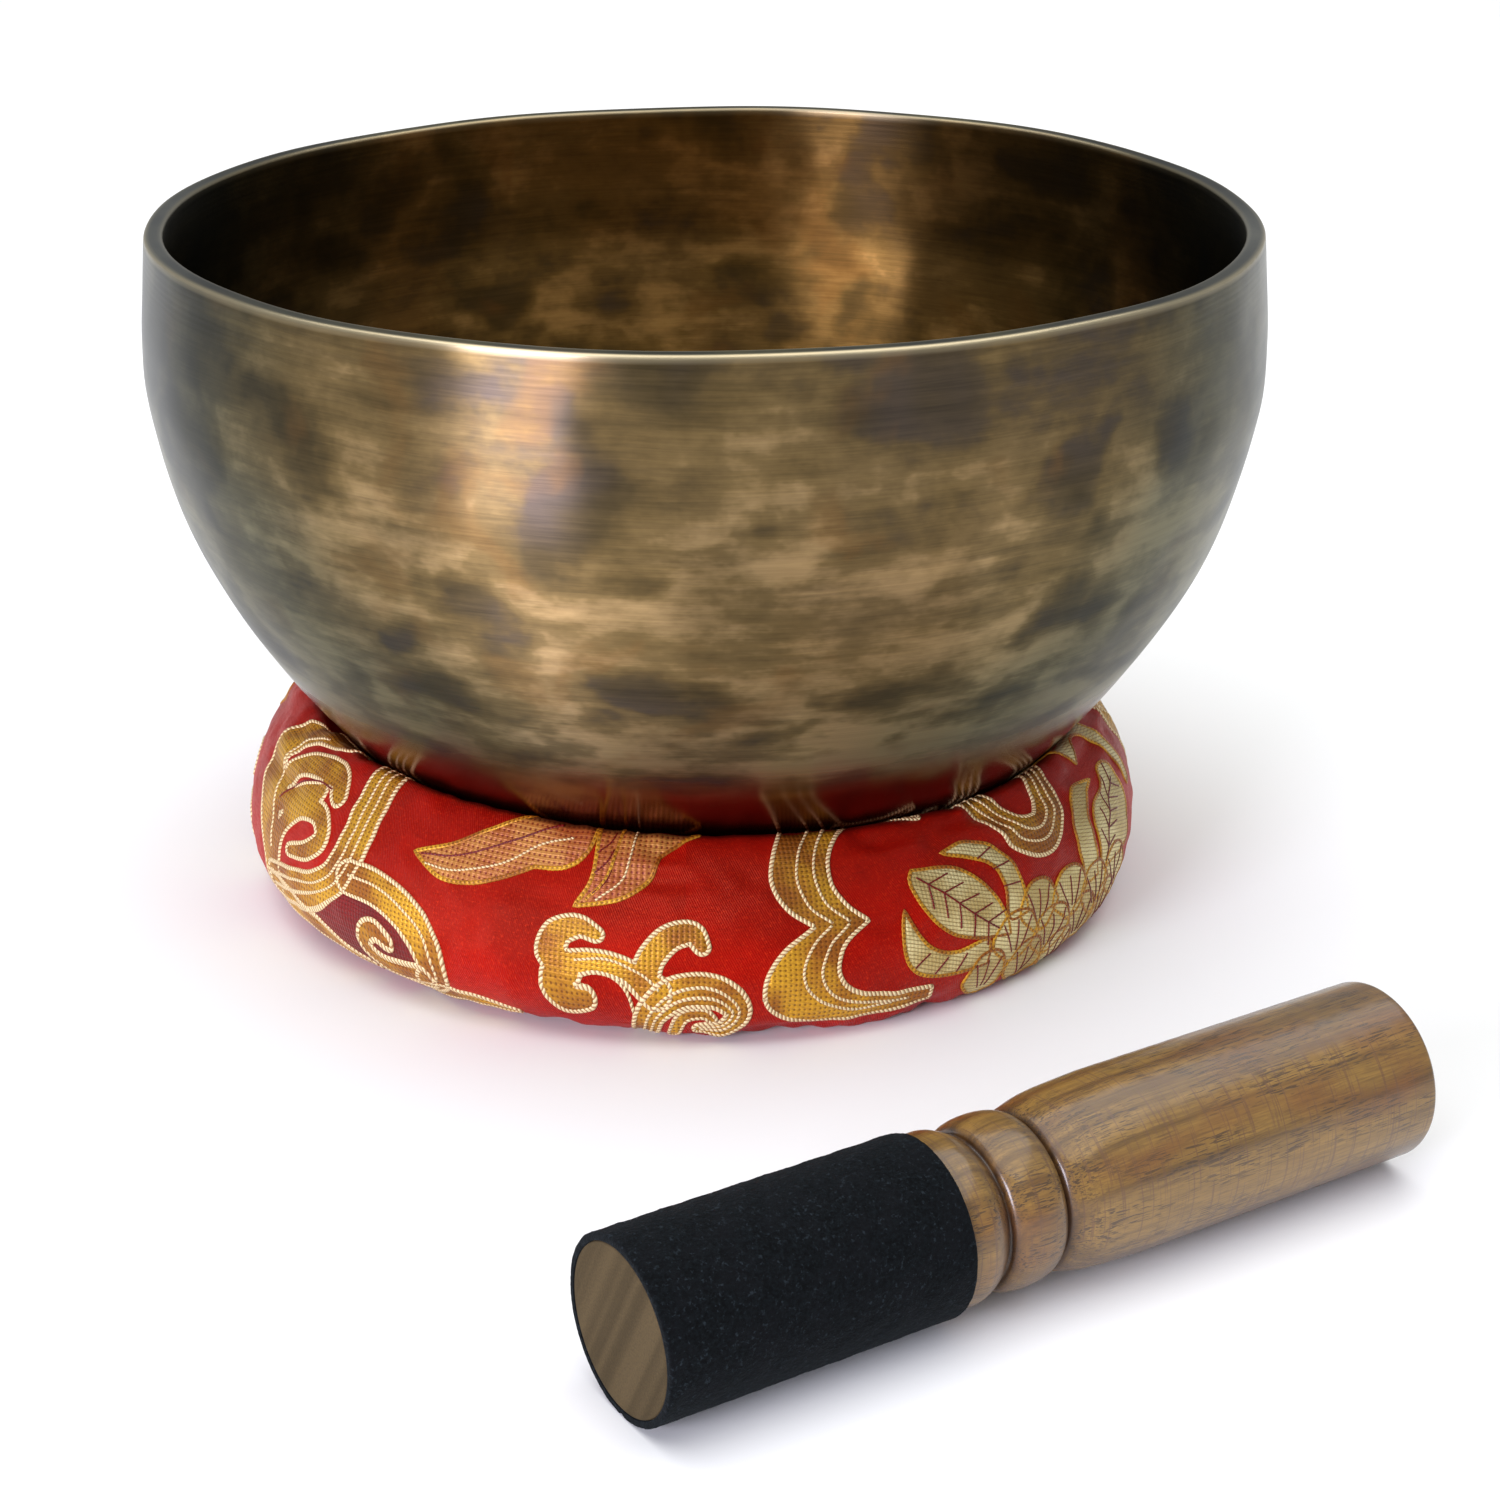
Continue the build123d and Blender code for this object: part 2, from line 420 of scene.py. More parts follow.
def bronze():
    """Mottled patina over brushed bronze: grey-brown blots with gold between them."""
    paint = Paint("bronze")
    x, y, z = paint.split(paint.add("TexCoord", {}, "Object"))
    along = paint.sum(paint.radius(x, y), z)  # grows all the way from the middle of the bowl to its rim
    spot = paint.join(x, y, along)

    def brushed(round_scale, along_scale, detail):
        """Noise that changes slowly round the bowl and fast up its wall."""
        return paint.noise(paint.scaled(spot, round_scale, round_scale, along_scale), 1.0, detail, 0.6)

    brush = brushed(26.0, 700.0, 4.0)
    fine = brushed(90.0, 3000.0, 2.0)
    smear = brushed(34.0, 130.0, 5.0)
    wide = paint.scaled(spot, 0.72, 0.72, 1.0)
    cloud = paint.noise(wide, 42.0, 5.0, 0.6, 0.15)
    fleck = paint.noise(wide, 190.0, 3.0, 0.6)
    drift = paint.add("TexNoise", {"Vector": spot, "Scale": 45.0, "Detail": 4.0}, "Color")
    cells = {"Vector": paint.mix(0.036, wide, drift, "ADD"), "Scale": 52.0, "Smoothness": 0.4}
    blots = paint.add("TexVoronoi", cells, "Distance", feature="SMOOTH_F1")
    inside = paint.number("inside")
    outside = paint.less(1.0, inside)

    # Tone: how golden the metal is. It is darker near the rim and lighter low on the wall.
    tone = paint.sum(
        paint.ramp(blots, 0.08, 0.62, 0.0, 0.5),
        paint.ramp(cloud, 0.34, 0.66, 0.0, 0.26),
        paint.ramp(smear, 0.3, 0.7, 0.0, 0.24),
        paint.times(paint.less(fleck, 0.5), 0.3),
    )
    tone = paint.less(tone, paint.times(paint.ramp(z, 0.098, 0.13, 0.0, 0.17), outside))
    tone = paint.sum(tone, paint.ramp(z, 0.045, 0.085, 0.2, 0.0))
    colour = paint.colours(tone, [
        (0.10, rgb(78, 70, 53)), (0.32, rgb(90, 80, 60)), (0.52, rgb(110, 96, 69)),
        (0.70, rgb(131, 114, 83)), (0.92, rgb(180, 156, 120))])
    violet = paint.ramp(paint.noise(spot, 28.0, 3.0, 0.5), 0.42, 0.66, 0.0, 0.9)
    violet = paint.times(violet, paint.ramp(tone, 0.3, 0.62, 1.0, 0.2))
    colour = paint.mix(violet, colour, rgb(86, 80, 80))
    rust = paint.ramp(paint.noise(spot, 52.0, 3.0, 0.5, 0.4), 0.56, 0.7, 0.0, 0.35)
    colour = paint.mix(rust, colour, rgb(128, 98, 64))
    colour = paint.grained(0.45, colour, brush, rgb(20, 18, 14), rgb(245, 225, 190))
    colour = paint.grained(0.3, colour, fine, rgb(10, 8, 6), rgb(250, 235, 205))
    colour = paint.tint(inside, colour, rgb(222, 204, 168))

    # Painted reflection: near the foot the metal is tinted copper-red in patches, standing in for the red
    # cushion mirrored there
    height = paint.sum(z, paint.times(paint.less(1.0, cloud), 0.02))
    painted_red_reflection = paint.times(paint.ramp(height, 0.052, 0.068, 0.85, 0.0), outside)
    colour = paint.mix(painted_red_reflection, colour, rgb(196, 96, 62))

    # The oxide gets a painted tint at a slant, darker and blue-grey, standing in for the dimmer, bluish
    # reflection at the bowl's sides; the rim's edges are rubbed bright
    facing = paint.add("LayerWeight", {"Blend": 0.5}, "Facing")
    colour = paint.tint(paint.ramp(facing, 0.2, 0.62), colour, (0.31, 0.42, 0.47, 1.0))
    colour = paint.mix(paint.number("polish"), colour, rgb(222, 206, 170))

    # The wall is brushed and its underside is smoother, so it mirrors the cushion
    share = paint.math("MAXIMUM", paint.ramp(z, 0.044, 0.062), inside)
    rough = paint.times(paint.ramp(tone, 0.1, 0.9, 0.35, 0.32), paint.sum(paint.times(share, 0.45), 0.55))
    grooves = paint.times(paint.wave(z, 5200.0), paint.ramp(z, 0.126, 0.132))
    relief = paint.sum(brush, paint.times(fine, 0.6), paint.times(grooves, 0.25))
    return paint.finish(
        Base_Color=colour, Metallic=1.0, Roughness=rough, Normal=paint.bump(relief, 0.25, 0.08),
        Anisotropic=paint.sum(paint.times(share, 0.57), 0.40), Anisotropic_Rotation=0.25,
        Tangent=paint.add("Tangent", {}, direction_type="RADIAL", axis="Z"))


def satin():
    """Red satin ground of the brocade."""
    paint = Paint("brocade")
    strip = paint.attribute("strip")
    u, v, _ = paint.split(strip)
    slub = paint.noise(paint.scaled(strip, 0.35, 2.6, 1.0), 1.0, 3.0, 0.6)
    speck = paint.noise(strip, 1.7, 3.0, 0.7)
    cloudy = paint.noise(strip, 0.05, 2.0)
    colour = paint.mix(paint.ramp(cloudy, 0.3, 0.7), rgb(138, 6, 3), rgb(166, 11, 5))
    colour = paint.mix(paint.ramp(speck, 0.5, 0.72, 0.0, 0.55), colour, rgb(214, 52, 22))
    colour = paint.mix(paint.ramp(slub, 0.5, 0.7, 0.0, 0.35), colour, rgb(104, 2, 2))
    twill = paint.wave(paint.sum(u, paint.times(v, 0.5)), 13.0)
    relief = paint.sum(paint.times(twill, 0.5), speck)
    # The satin's colour carries painted shade in the crease and painted shadow of the bowl
    return paint.finish(
        Base_Color=paint.painted_crease_shade(colour, v), Roughness=paint.ramp(slub, 0.2, 0.8, 0.34, 0.5),
        Normal=paint.bump(relief, 0.45, 0.14), Sheen_Weight=0.12, Sheen_Roughness=0.4,
        Sheen_Tint=rgb(255, 60, 40), Specular_IOR_Level=0.28, Specular_Tint=rgb(255, 150, 110))


def woven(name, thread, shade, hole, pitch, metal, rows=0.0):
    """A motif's filling: rows of small dark holes between bright threads, or rows of threads."""
    paint = Paint(name)
    strip = paint.attribute("strip")
    u, v, _ = paint.split(strip)
    rising, falling = (paint.wave(slant, math.pi / pitch) for slant in (paint.sum(u, v), paint.less(u, v)))
    dots = paint.times(rising, falling)
    picks = paint.wave(v, 2 * math.pi / PICK_PITCH)
    between = paint.wave(paint.sum(v, paint.times(u, 0.35)), 2 * math.pi / pitch)
    speck = paint.noise(strip, 1.6, 3.0, 0.7)
    patch = paint.noise(strip, 0.07, 3.0)
    colour = paint.mix(paint.ramp(patch, 0.38, 0.62), thread, shade)
    colour = paint.mix(paint.ramp(dots, 0.3, 0.8, 0.0, 0.9 * (1 - rows)), colour, hole)
    colour = paint.mix(paint.ramp(between, 0.2, 0.9, 0.0, 0.8 * rows), colour, hole)
    colour = paint.grained(0.4, colour, speck, rgb(60, 30, 10), rgb(255, 245, 210))
    relief = paint.less(paint.times(picks, 0.25), dots)
    # The filling's colour carries painted shade in the crease and painted shadow of the bowl
    return paint.finish(
        Base_Color=paint.painted_crease_shade(colour, v), Metallic=metal, Roughness=0.42,
        Normal=paint.bump(relief, 0.5, 0.15), Specular_IOR_Level=0.3)


def cord_thread(name, thread, gap):
    """Outline thread: short stitches side by side across the line."""
    paint = Paint(name)
    strip = paint.attribute("strip")
    u, v, _ = paint.split(strip)
    stitch = paint.wave(paint.sum(u, paint.times(v, 0.6)), 2 * math.pi / COUCHING_PITCH)
    speck = paint.noise(strip, 1.3, 2.0, 0.7)
    colour = paint.mix(paint.ramp(stitch, -0.9, 0.1, 0.9, 0.0), thread, gap)
    colour = paint.grained(0.35, colour, speck, rgb(90, 60, 20), rgb(255, 250, 230))
    return paint.finish(Base_Color=colour, Metallic=0.1, Roughness=0.45, Normal=paint.bump(stitch, 0.6, 0.15))


def lacquered_wood():
    """Olive-brown wood: soft streaks along the grain, short dark pores, turning marks and a clear coat."""
    paint = Paint("lacquered_wood")
    local = paint.attribute("local")  # along the mallet's axis, and across it, in millimetres
    s, y, z = paint.split(local)
    log = paint.add("VectorMath", {0: local, 1: (310.0, 47.0, 12.0)}, operation="ADD")

    def grain(along, across, detail=4.0, rough=0.6):
        return paint.noise(paint.scaled(log, along, across, across), 1.0, detail, rough)

    layers = paint.noise(paint.scaled(log, 0.008, 0.42, 0.10), 1.0, 4.0, 0.6, 0.3)
    fibre = grain(0.12, 3.2, 3.0)
    turning = paint.noise(paint.scaled(log, 2.6, 0.07, 0.07), 1.0, 3.0, 0.6, 0.15)
    colour = paint.mix(paint.ramp(layers, 0.36, 0.62), rgb(98, 76, 38), rgb(136, 110, 60))
    colour = paint.mix(paint.ramp(grain(0.03, 0.07, 2.0), 0.45, 0.7, 0.0, 0.7), colour, rgb(110, 72, 40))
    colour = paint.mix(paint.ramp(grain(0.03, 0.8), 0.54, 0.68, 0.0, 0.45), colour, rgb(82, 62, 36))
    colour = paint.grained(0.7, colour, fibre, rgb(40, 26, 14), rgb(250, 225, 170))
    pores = paint.ramp(grain(0.32, 4.2, 1.0), 0.56, 0.63, 0.0, 0.85)
    dashes = paint.ramp(grain(0.2, 2.2, 1.0), 0.59, 0.65, 0.0, 0.8)
    patches = paint.ramp(grain(0.05, 0.16, 2.0), 0.38, 0.58, 0.25, 1.0)
    pits = paint.times(paint.math("MAXIMUM", pores, dashes), patches)
    colour = paint.mix(pits, colour, rgb(62, 44, 28))
    cuts = paint.ramp(turning, 0.55, 0.62, 0.0, 0.6)
    colour = paint.mix(cuts, colour, rgb(96, 66, 42))
    # The necks between the beads are tinted darker and redder
    neck_tint = paint.times(paint.ramp(paint.radius(y, z), 12.2, 14.6, 0.8, 0.0), paint.ramp(s, 56.0, 58.0))
    colour = paint.tint(neck_tint, colour, rgb(150, 112, 84))

    # The striking end is raw, with broad bands across it, and dark: partly end grain's own tone, partly
    # painted shade
    slanted = paint.join(0.0, paint.sum(paint.times(y, 0.09), paint.times(z, 0.05)), 3.0)
    band = paint.noise(slanted, 1.0, 3.0, 0.55)
    end = paint.mix(paint.ramp(band, 0.40, 0.62, 0.0, 0.7), rgb(85, 76, 60), rgb(46, 42, 34))
    end = paint.grained(0.5, end, fibre, rgb(50, 34, 18), rgb(240, 215, 165))
    raw_and_shaded_end = paint.ramp(s, 0.2, 0.6, 1.0, 0.0)
    relief = paint.less(paint.times(fibre, 0.3), paint.sum(pits, paint.times(cuts, 0.6)))
    return paint.finish(
        Base_Color=paint.mix(raw_and_shaded_end, colour, end), Normal=paint.bump(relief, 0.35, 0.15),
        Roughness=paint.ramp(raw_and_shaded_end, 0.0, 1.0, 0.5, 0.95), Coat_Roughness=0.2,
        Coat_Weight=paint.ramp(raw_and_shaded_end, 0.0, 1.0, 0.75, 0.0),
        Specular_IOR_Level=paint.ramp(raw_and_shaded_end, 0.0, 1.0, 0.35, 0.05))


def suede():
    """Near-black hide with a short, brushed nap."""
    paint = Paint("suede")
    local = paint.attribute("local")
    nap = paint.noise(local, 1.5, 4.0, 0.7)
    brushed = paint.noise(local, 0.22, 3.0, 0.6)
    fleck = paint.noise(local, 1.3, 3.0, 0.7)
    colour = paint.mix(paint.ramp(nap, 0.35, 0.75), rgb(2, 3, 4), rgb(15, 20, 23))
    colour = paint.mix(paint.ramp(brushed, 0.4, 0.65, 0.0, 0.5), colour, rgb(13, 14, 17))
    colour = paint.mix(paint.ramp(fleck, 0.56, 0.72, 0.0, 0.6), colour, rgb(44, 52, 58))
    relief = paint.sum(nap, paint.times(fleck, 0.5))
    return paint.finish(
        Base_Color=colour, Roughness=0.95, Normal=paint.bump(relief, 0.7, 0.35), Sheen_Weight=0.05,
        Sheen_Roughness=0.5, Sheen_Tint=rgb(150, 165, 175), Specular_IOR_Level=0.1)


def plain_yarn(name, base, dark):
    """Wadding, thread or glue: a fibrous colour."""
    paint = Paint(name)
    place = paint.scaled(paint.add("TexCoord", {}, "Object"), 900.0, 900.0, 2600.0)
    fibre = paint.noise(place, 1.0, 3.0, 0.6)
    colour = paint.mix(fibre, dark, base)
    return paint.finish(Base_Color=colour, Roughness=0.8, Normal=paint.bump(fibre, 0.4, 0.2))


# Bowl

def bowl_outside(step=BOWL_STEP):
    return smooth_line(BOWL_OUTSIDE, step)


def bowl_section():
    """The bowl's whole outline: outside from the axis to the rim, over it and down to the axis."""
    outside = bowl_outside()
    _, inward = unit_and_left(np.gradient(outside, axis=0))
    lip = np.clip((outside[:, 1] - RIM_HEIGHT + LIP_HEIGHT) / LIP_HEIGHT, 0, 1)
    thick = WALL_THICKNESS + (RIM_THICKNESS - WALL_THICKNESS) * lip**1.5
    inside = outside + inward * thick[:, None]
    inside[:, 1] = np.minimum(inside[:, 1], RIM_HEIGHT)
    turn = np.linspace(0, np.pi / 2, EDGE_POINTS)
    corner = RIM_ROUNDING * (1 - np.cos(turn))
    height = RIM_HEIGHT - RIM_ROUNDING * (1 - np.sin(turn))
    over_out = np.stack([outside[-1, 0] - corner, height], axis=1)
    over_in = np.stack([inside[-1, 0] + corner, height], axis=1)[::-1]
    flat = np.linspace(over_out[-1], over_in[0], FLAT_POINTS)[1:-1]
    wall_out, wall_in = (wall[wall[:, 1] < RIM_HEIGHT - RIM_ROUNDING] for wall in (outside, inside))
    floor_out = np.linspace((0, FOOT_HEIGHT), outside[0], FLOOR_POINTS)[:-1]
    floor_in = np.linspace(inside[0], (0, inside[0, 1]), FLOOR_POINTS)[1:]
    return np.vstack([floor_out, wall_out, over_out, flat, over_in, wall_in[::-1], floor_in])


def hammer_marks(points, rng):
    """Depth of the shallow hammer dents at points on the wall."""
    wall_heights_and_radii = bowl_outside(COARSE_STEP).T[::-1]
    depth = np.zeros(points.shape[:-1])
    for _ in range(DENTS):
        angle = rng.uniform(0, 2 * np.pi)
        height = rng.uniform(FOOT_HEIGHT, DENTS_TOP)
        radius = np.interp(height, *wall_heights_and_radii)
        centre = np.array([radius * np.sin(angle), -radius * np.cos(angle), height])
        size, deep = rng.uniform(*DENT_SIZES), rng.uniform(*DENT_DEPTHS)
        depth += deep * np.exp(-((points - centre) ** 2).sum(-1) / size**2)
    return depth


def waves(angle, *parts):
    """A sum of waves round the bowl, each part with its size, number of turns and phase."""
    return sum(size * np.sin(turns * angle + phase) for size, turns, phase in parts)


def make_bowl(material):
    section = bowl_section()
    points = turned_grid(section, BOWL_AROUND)
    r, z = section.T
    outward = points * (1, 1, 0)
    outward /= np.maximum(np.linalg.norm(outward, axis=2, keepdims=True), 1e-6)
    dents = hammer_marks(points, np.random.default_rng(BOWL_SEED)) - MEAN_DENT
    dented = np.clip((r - DENTS_START) / (DENTS_FULL - DENTS_START), 0, 1)
    # The hand-made rim isn't quite round or level
    angle = turn_angles(BOWL_AROUND)[:, None]
    high = np.clip((z - UNEVEN_HEIGHT) / (RIM_HEIGHT - UNEVEN_HEIGHT), 0, 1) ** 2
    oval = waves(angle, (0.35, 2, 0.6), (0.2, 5, 2.0), (0.12, 9, 0.0))
    level = waves(angle, (0.3, 2, 2.2), (0.2, 3, 0.4), (0.1, 11, 0.0)) - 0.3
    points += outward * (oval * high - dents * dented)[..., None]
    points[..., 2] += level * high
    faces, _ = grid_faces(BOWL_AROUND, len(section), wrap_m=False)
    bowl = add_object("singing_bowl", points, faces, material)
    rim = r[z > RIM_HEIGHT - 1]
    from_outer, from_inner = (np.hypot(r - edge, z - RIM_HEIGHT) for edge in (rim.max(), rim.min()))
    polish = np.exp(-(from_outer / EDGE_WEAR) ** 2) + 0.5 * np.exp(-(from_inner / EDGE_WEAR) ** 2)
    inside = np.arange(len(section)) > np.argmin(from_inner)
    set_attribute(bowl, "polish", np.tile(polish, BOWL_AROUND))
    set_attribute(bowl, "inside", np.tile(inside, BOWL_AROUND))
    merge_poles(bowl)
    settle(bowl, "bowl", "bronze", "bowl")


# Cushion

def quarter(radius, height, across, up, start):
    """A quarter of an ellipse in the tube's section, from a start angle in degrees."""
    angle = np.radians(start + np.linspace(0, 90, QUARTER_POINTS))
    return np.stack([radius + across * np.cos(angle), height + up * np.sin(angle)], axis=1)


def tube_parts(angle):
    """The cushion's tube in section, in five parts: up to the belly, up to the crown, down to the
    hole's waist, in under it, and back under the foot. It is rounder underneath at the front left,
    and lower at the right."""
    from_slack = (angle - SLACK_ANGLE + math.pi) % (2 * math.pi) - math.pi
    slack = math.exp(-(from_slack / SLACK_SPREAD) ** 2)
    foot = FOOT_OUTER - SLACK_INSET * slack
    belly = BELLY_HEIGHT + SLACK_LIFT * slack
    crown = CROWN_HEIGHT - CROWN_DROP * (1 + math.sin(angle)) / 2
    reach, dip = CUSHION_RADIUS - CROWN_RADIUS, CROWN_RADIUS - HOLE_RADIUS
    return [
        quarter(foot, belly, CUSHION_RADIUS - foot, belly, 270),
        quarter(CROWN_RADIUS, belly, reach, crown - belly, 0),
        quarter(CROWN_RADIUS, WAIST_HEIGHT, dip, crown - WAIST_HEIGHT, 90),
        quarter(FOOT_INNER, WAIST_HEIGHT, FOOT_INNER - HOLE_RADIUS, WAIST_HEIGHT, 180),
        np.linspace((FOOT_INNER, 0), (foot, 0), FOOT_POINTS),
    ]


def tube_outline(angle=math.pi):
    """Points round the tube's section, the same number along each part at every angle."""
    return np.vstack([evenly(part, count + 1)[:-1] for part, count in zip(tube_parts(angle), PART_STEPS)])


def under_bowl(points):
    """Presses points down to clear the bowl and up to clear the table."""
    outside = bowl_outside()
    below_belly = outside[:np.argmax(outside[:, 0])]
    from_axis = np.hypot(points[..., 0], points[..., 1])
    underside = np.interp(from_axis, *below_belly.T, right=1e3)
    points[..., 2] = np.clip(points[..., 2], 0.0, underside - BOWL_CLEARANCE)
    return points


def square(half):
    return [(-half, -half, 0), (half, -half, 0), (half, half, 0), (-half, half, 0)]


def add_collider(name, points, faces):
    collider = add_object(name, points, faces)
    settings = collider.modifiers.new("Collision", "COLLISION").settings
    settings.thickness_outer = COLLIDER_GAP * MM
    settings.cloth_friction = CLOTH_FRICTION
    return collider


def swell(points, rest):
    """Cloth: the brocade tube, blown up by its filling between the table and the bowl."""
    around, ring, _ = points.shape
    cloth = add_object("cloth", points, grid_faces(around, ring)[0])
    cloth.shape_key_add(name="start")
    rest_key = cloth.shape_key_add(name="rest")
    rest_key.data.foreach_set("co", (rest * MM).ravel())
    modifier = cloth.modifiers.new("Cloth", "CLOTH")
    for key, value in CLOTH_SETTINGS.items():
        setattr(modifier.settings, key, value)
    modifier.settings.effector_weights.gravity = 0.0
    modifier.settings.rest_shape_key = rest_key
    modifier.collision_settings.distance_min = CLOTH_GAP * MM
    modifier.collision_settings.collision_quality = 3
    closed = np.vstack([(0.01, FOOT_HEIGHT), bowl_outside(COLLIDER_STEP)])
    bowl_faces, _ = grid_faces(COLLIDER_AROUND, len(closed), wrap_m=False)
    colliders = [
        add_collider("collide_bowl", turned_grid(closed, COLLIDER_AROUND), bowl_faces),
        add_collider("collide_table", square(TABLE_HALF), [(0, 1, 2, 3)]),
    ]
    scene = bpy.context.scene
    for clock in (scene, modifier.point_cache):
        clock.frame_start, clock.frame_end = 1, CLOTH_FRAMES
    for step in range(1, CLOTH_FRAMES + 1):
        scene.frame_set(step)
    shown = cloth.evaluated_get(bpy.context.evaluated_depsgraph_get())
    co = np.empty(points.size)
    shown.data.vertices.foreach_get("co", co)
    for obj in [cloth, *colliders]:
        bpy.data.objects.remove(obj)
    scene.frame_set(1)
    return co.reshape(points.shape) / MM


def cover_shape():
    """The simulated cover as a coarse grid, in millimetres."""
    outlines = np.array([tube_outline(angle) for angle in turn_angles(AROUND)])
    start = under_bowl(turned_grid(outlines, AROUND, CUSHION_SHIFT))
    slack = outlines.copy()
    slack[..., 0] = CUSHION_RADIUS + (slack[..., 0] - CUSHION_RADIUS) * GATHER
    slack[..., 1] *= STRETCH
    rough = start + np.random.default_rng(CLOTH_SEED).normal(0, START_NOISE, start.shape)
    step = swell(rough, turned_grid(slack, AROUND, CUSHION_SHIFT)) - start
    # Keep the wrinkles, but not the cover's overall shrinking or slipping: it is sewn and stuffed tight
    normal = grid_normals(start)
    outwards = (step * normal).sum(2, keepdims=True)
    sideways = step - outwards * normal
    wrinkles = outwards - outwards.mean(0)
    wrinkles = WRINKLE_REACH * np.tanh(wrinkles / WRINKLE_REACH)
    return start + wrinkles * normal + SIDEWAYS_SHARE * (sideways - sideways.mean(0))


class Surface:
    """The finished cover. Places on it are (u, v): u in millimetres round the outside from the
    front, v in millimetres up the tube's outline from the outside edge of its foot."""

    def __init__(self, grid):
        self.grid = grid
        self.normal = grid_normals(grid)
        self.counts = np.array(grid.shape[:2])
        self.lengths = np.array([2 * math.pi * CUSHION_RADIUS, closed_length(tube_outline())])

    def sample(self, table, uv):
        place = uv / self.lengths % 1 * self.counts
        corner = np.floor(place).astype(int)
        s, t = (place - corner).T[..., None]
        i0, j0 = (corner % self.counts).T
        i1, j1 = ((corner + 1) % self.counts).T
        near = table[i0, j0] * (1 - s) + table[i1, j0] * s
        far = table[i0, j1] * (1 - s) + table[i1, j1] * s
        return near * (1 - t) + far * t

    def at(self, uv, lift):
        """Points over places (u, v), lifted off the cover but not through the table."""
        points = self.sample(self.grid, uv) + self.sample(self.normal, uv) * lift
        points[:, 2] = np.maximum(points[:, 2], 0.0)
        return points


def make_cover(surface, material):
    faces, corners = grid_faces(*surface.counts)
    cover = add_object("brocade_cover", surface.grid, faces, material)
    uv = corners * (surface.lengths / surface.counts)
    cover.data.uv_layers.new(name="strip").data.foreach_set("uv", uv.astype(np.float32).ravel())
    settle(cover, "cushion", "brocade", "cushion_cover")


def make_filling(grid, material):
    """Wadding: the cover's shape, shrunk inside it."""
    inside = grid - grid_normals(grid) * (COVER_THICKNESS + FILLING_GAP)
    filling = add_object("filling", inside, grid_faces(*grid.shape[:2])[0], material)
    settle(filling, "cushion", "filling", "cushion_filling")


# Embroidery: closed outlines and lines on the strip, in millimetres

def outline(*strokes):
    """A closed outline from smooth strokes that meet at corners. A stroke starts where the last ends."""
    line = []
    last = strokes[-1][-1]
    for stroke in strokes:
        line.append(smooth_line([last, *stroke], MOTIF_STEP)[:-1])
        last = stroke[-1]
    return np.vstack(line)


def ribbon(points, widths):
    """A band's smooth centre line, its unit vectors along and to the left, and its half widths."""
    centre = smooth_line(points, MOTIF_STEP)
    along, left = unit_and_left(np.gradient(centre, axis=0))
    half = np.interp(np.linspace(0, 1, len(centre)), np.linspace(0, 1, len(widths)), widths)[:, None] / 2
    return centre, along, left, half


def band(points, widths):
    """The outline of a ribbon along a smooth centre line, with its widths spread along it."""
    centre, along, left, half = ribbon(points, widths)
    turn = np.linspace(0, np.pi, 7)[1:-1, None]
    cap_start, cap_end = (half[k] * (left[k] * np.cos(turn) + along[k] * np.sin(turn)) for k in (0, -1))
    return np.vstack([centre + left * half, centre[-1] + cap_end,
                      (centre - left * half)[::-1], centre[0] - cap_start])


def inside_points(polygons):
    """A grid of points inside any of the polygons."""
    everything = np.vstack(polygons)
    spans = zip(everything.min(0), everything.max(0), FILL_OFFSETS)
    x, y = np.meshgrid(*(np.arange(low, high, FILL_STEP) + offset for low, high, offset in spans))
    points = np.stack([x.ravel(), y.ravel()], axis=1)
    held = np.zeros(len(points), bool)
    for polygon in polygons:
        crossings = np.zeros(len(points), int)
        for (x0, y0), (x1, y1) in zip(polygon, np.roll(polygon, -1, axis=0)):
            beside = (y0 > points[:, 1]) != (y1 > points[:, 1])
            rise = y1 - y0 if abs(y1 - y0) > 1e-12 else 1e-12
            crossings += beside & (points[:, 0] < (x1 - x0) * (points[:, 1] - y0) / rise + x0)
        held |= crossings % 2 == 1
    return points[held]


def anticlockwise(polygon):
    after = np.roll(polygon, -1, axis=0)
    area = (polygon[:, 0] * after[:, 1] - after[:, 0] * polygon[:, 1]).sum()
    return polygon if area > 0 else polygon[::-1]


def open_edges(faces):
    """The edges that only one face has, in that face's direction."""
    edges = dict.fromkeys((a, b) for face in faces for a, b in zip(face, face[1:] + face[:1]))
    return [(a, b) for a, b in edges if (b, a) not in edges]


def border_loops(faces):
    """The closed loops of points round a patch of faces."""
    onward = dict(open_edges(faces))
    loops = []
    while onward:
        here = next(iter(onward))
        loop = []
        while here in onward:
            loop.append(here)
            here = onward.pop(here)
        if len(loop) > 5:  # shorter ones are slivers
            loops.append(loop)
    return loops


def filled(polygons):
    """Triangles over the union of closed polygons, with points inside to follow the cloth."""
    points, faces = [], []
    polygons = [anticlockwise(polygon) for polygon in polygons]
    for polygon in polygons:
        faces.append(list(range(len(points), len(points) + len(polygon))))
        points.extend(polygon)
    points.extend(inside_points(polygons))
    made = delaunay_2d_cdt([Vector(p) for p in points], [], faces, 1, 1e-4)
    return np.array(made[0]), [face for face, source in zip(made[2], made[5]) if source]


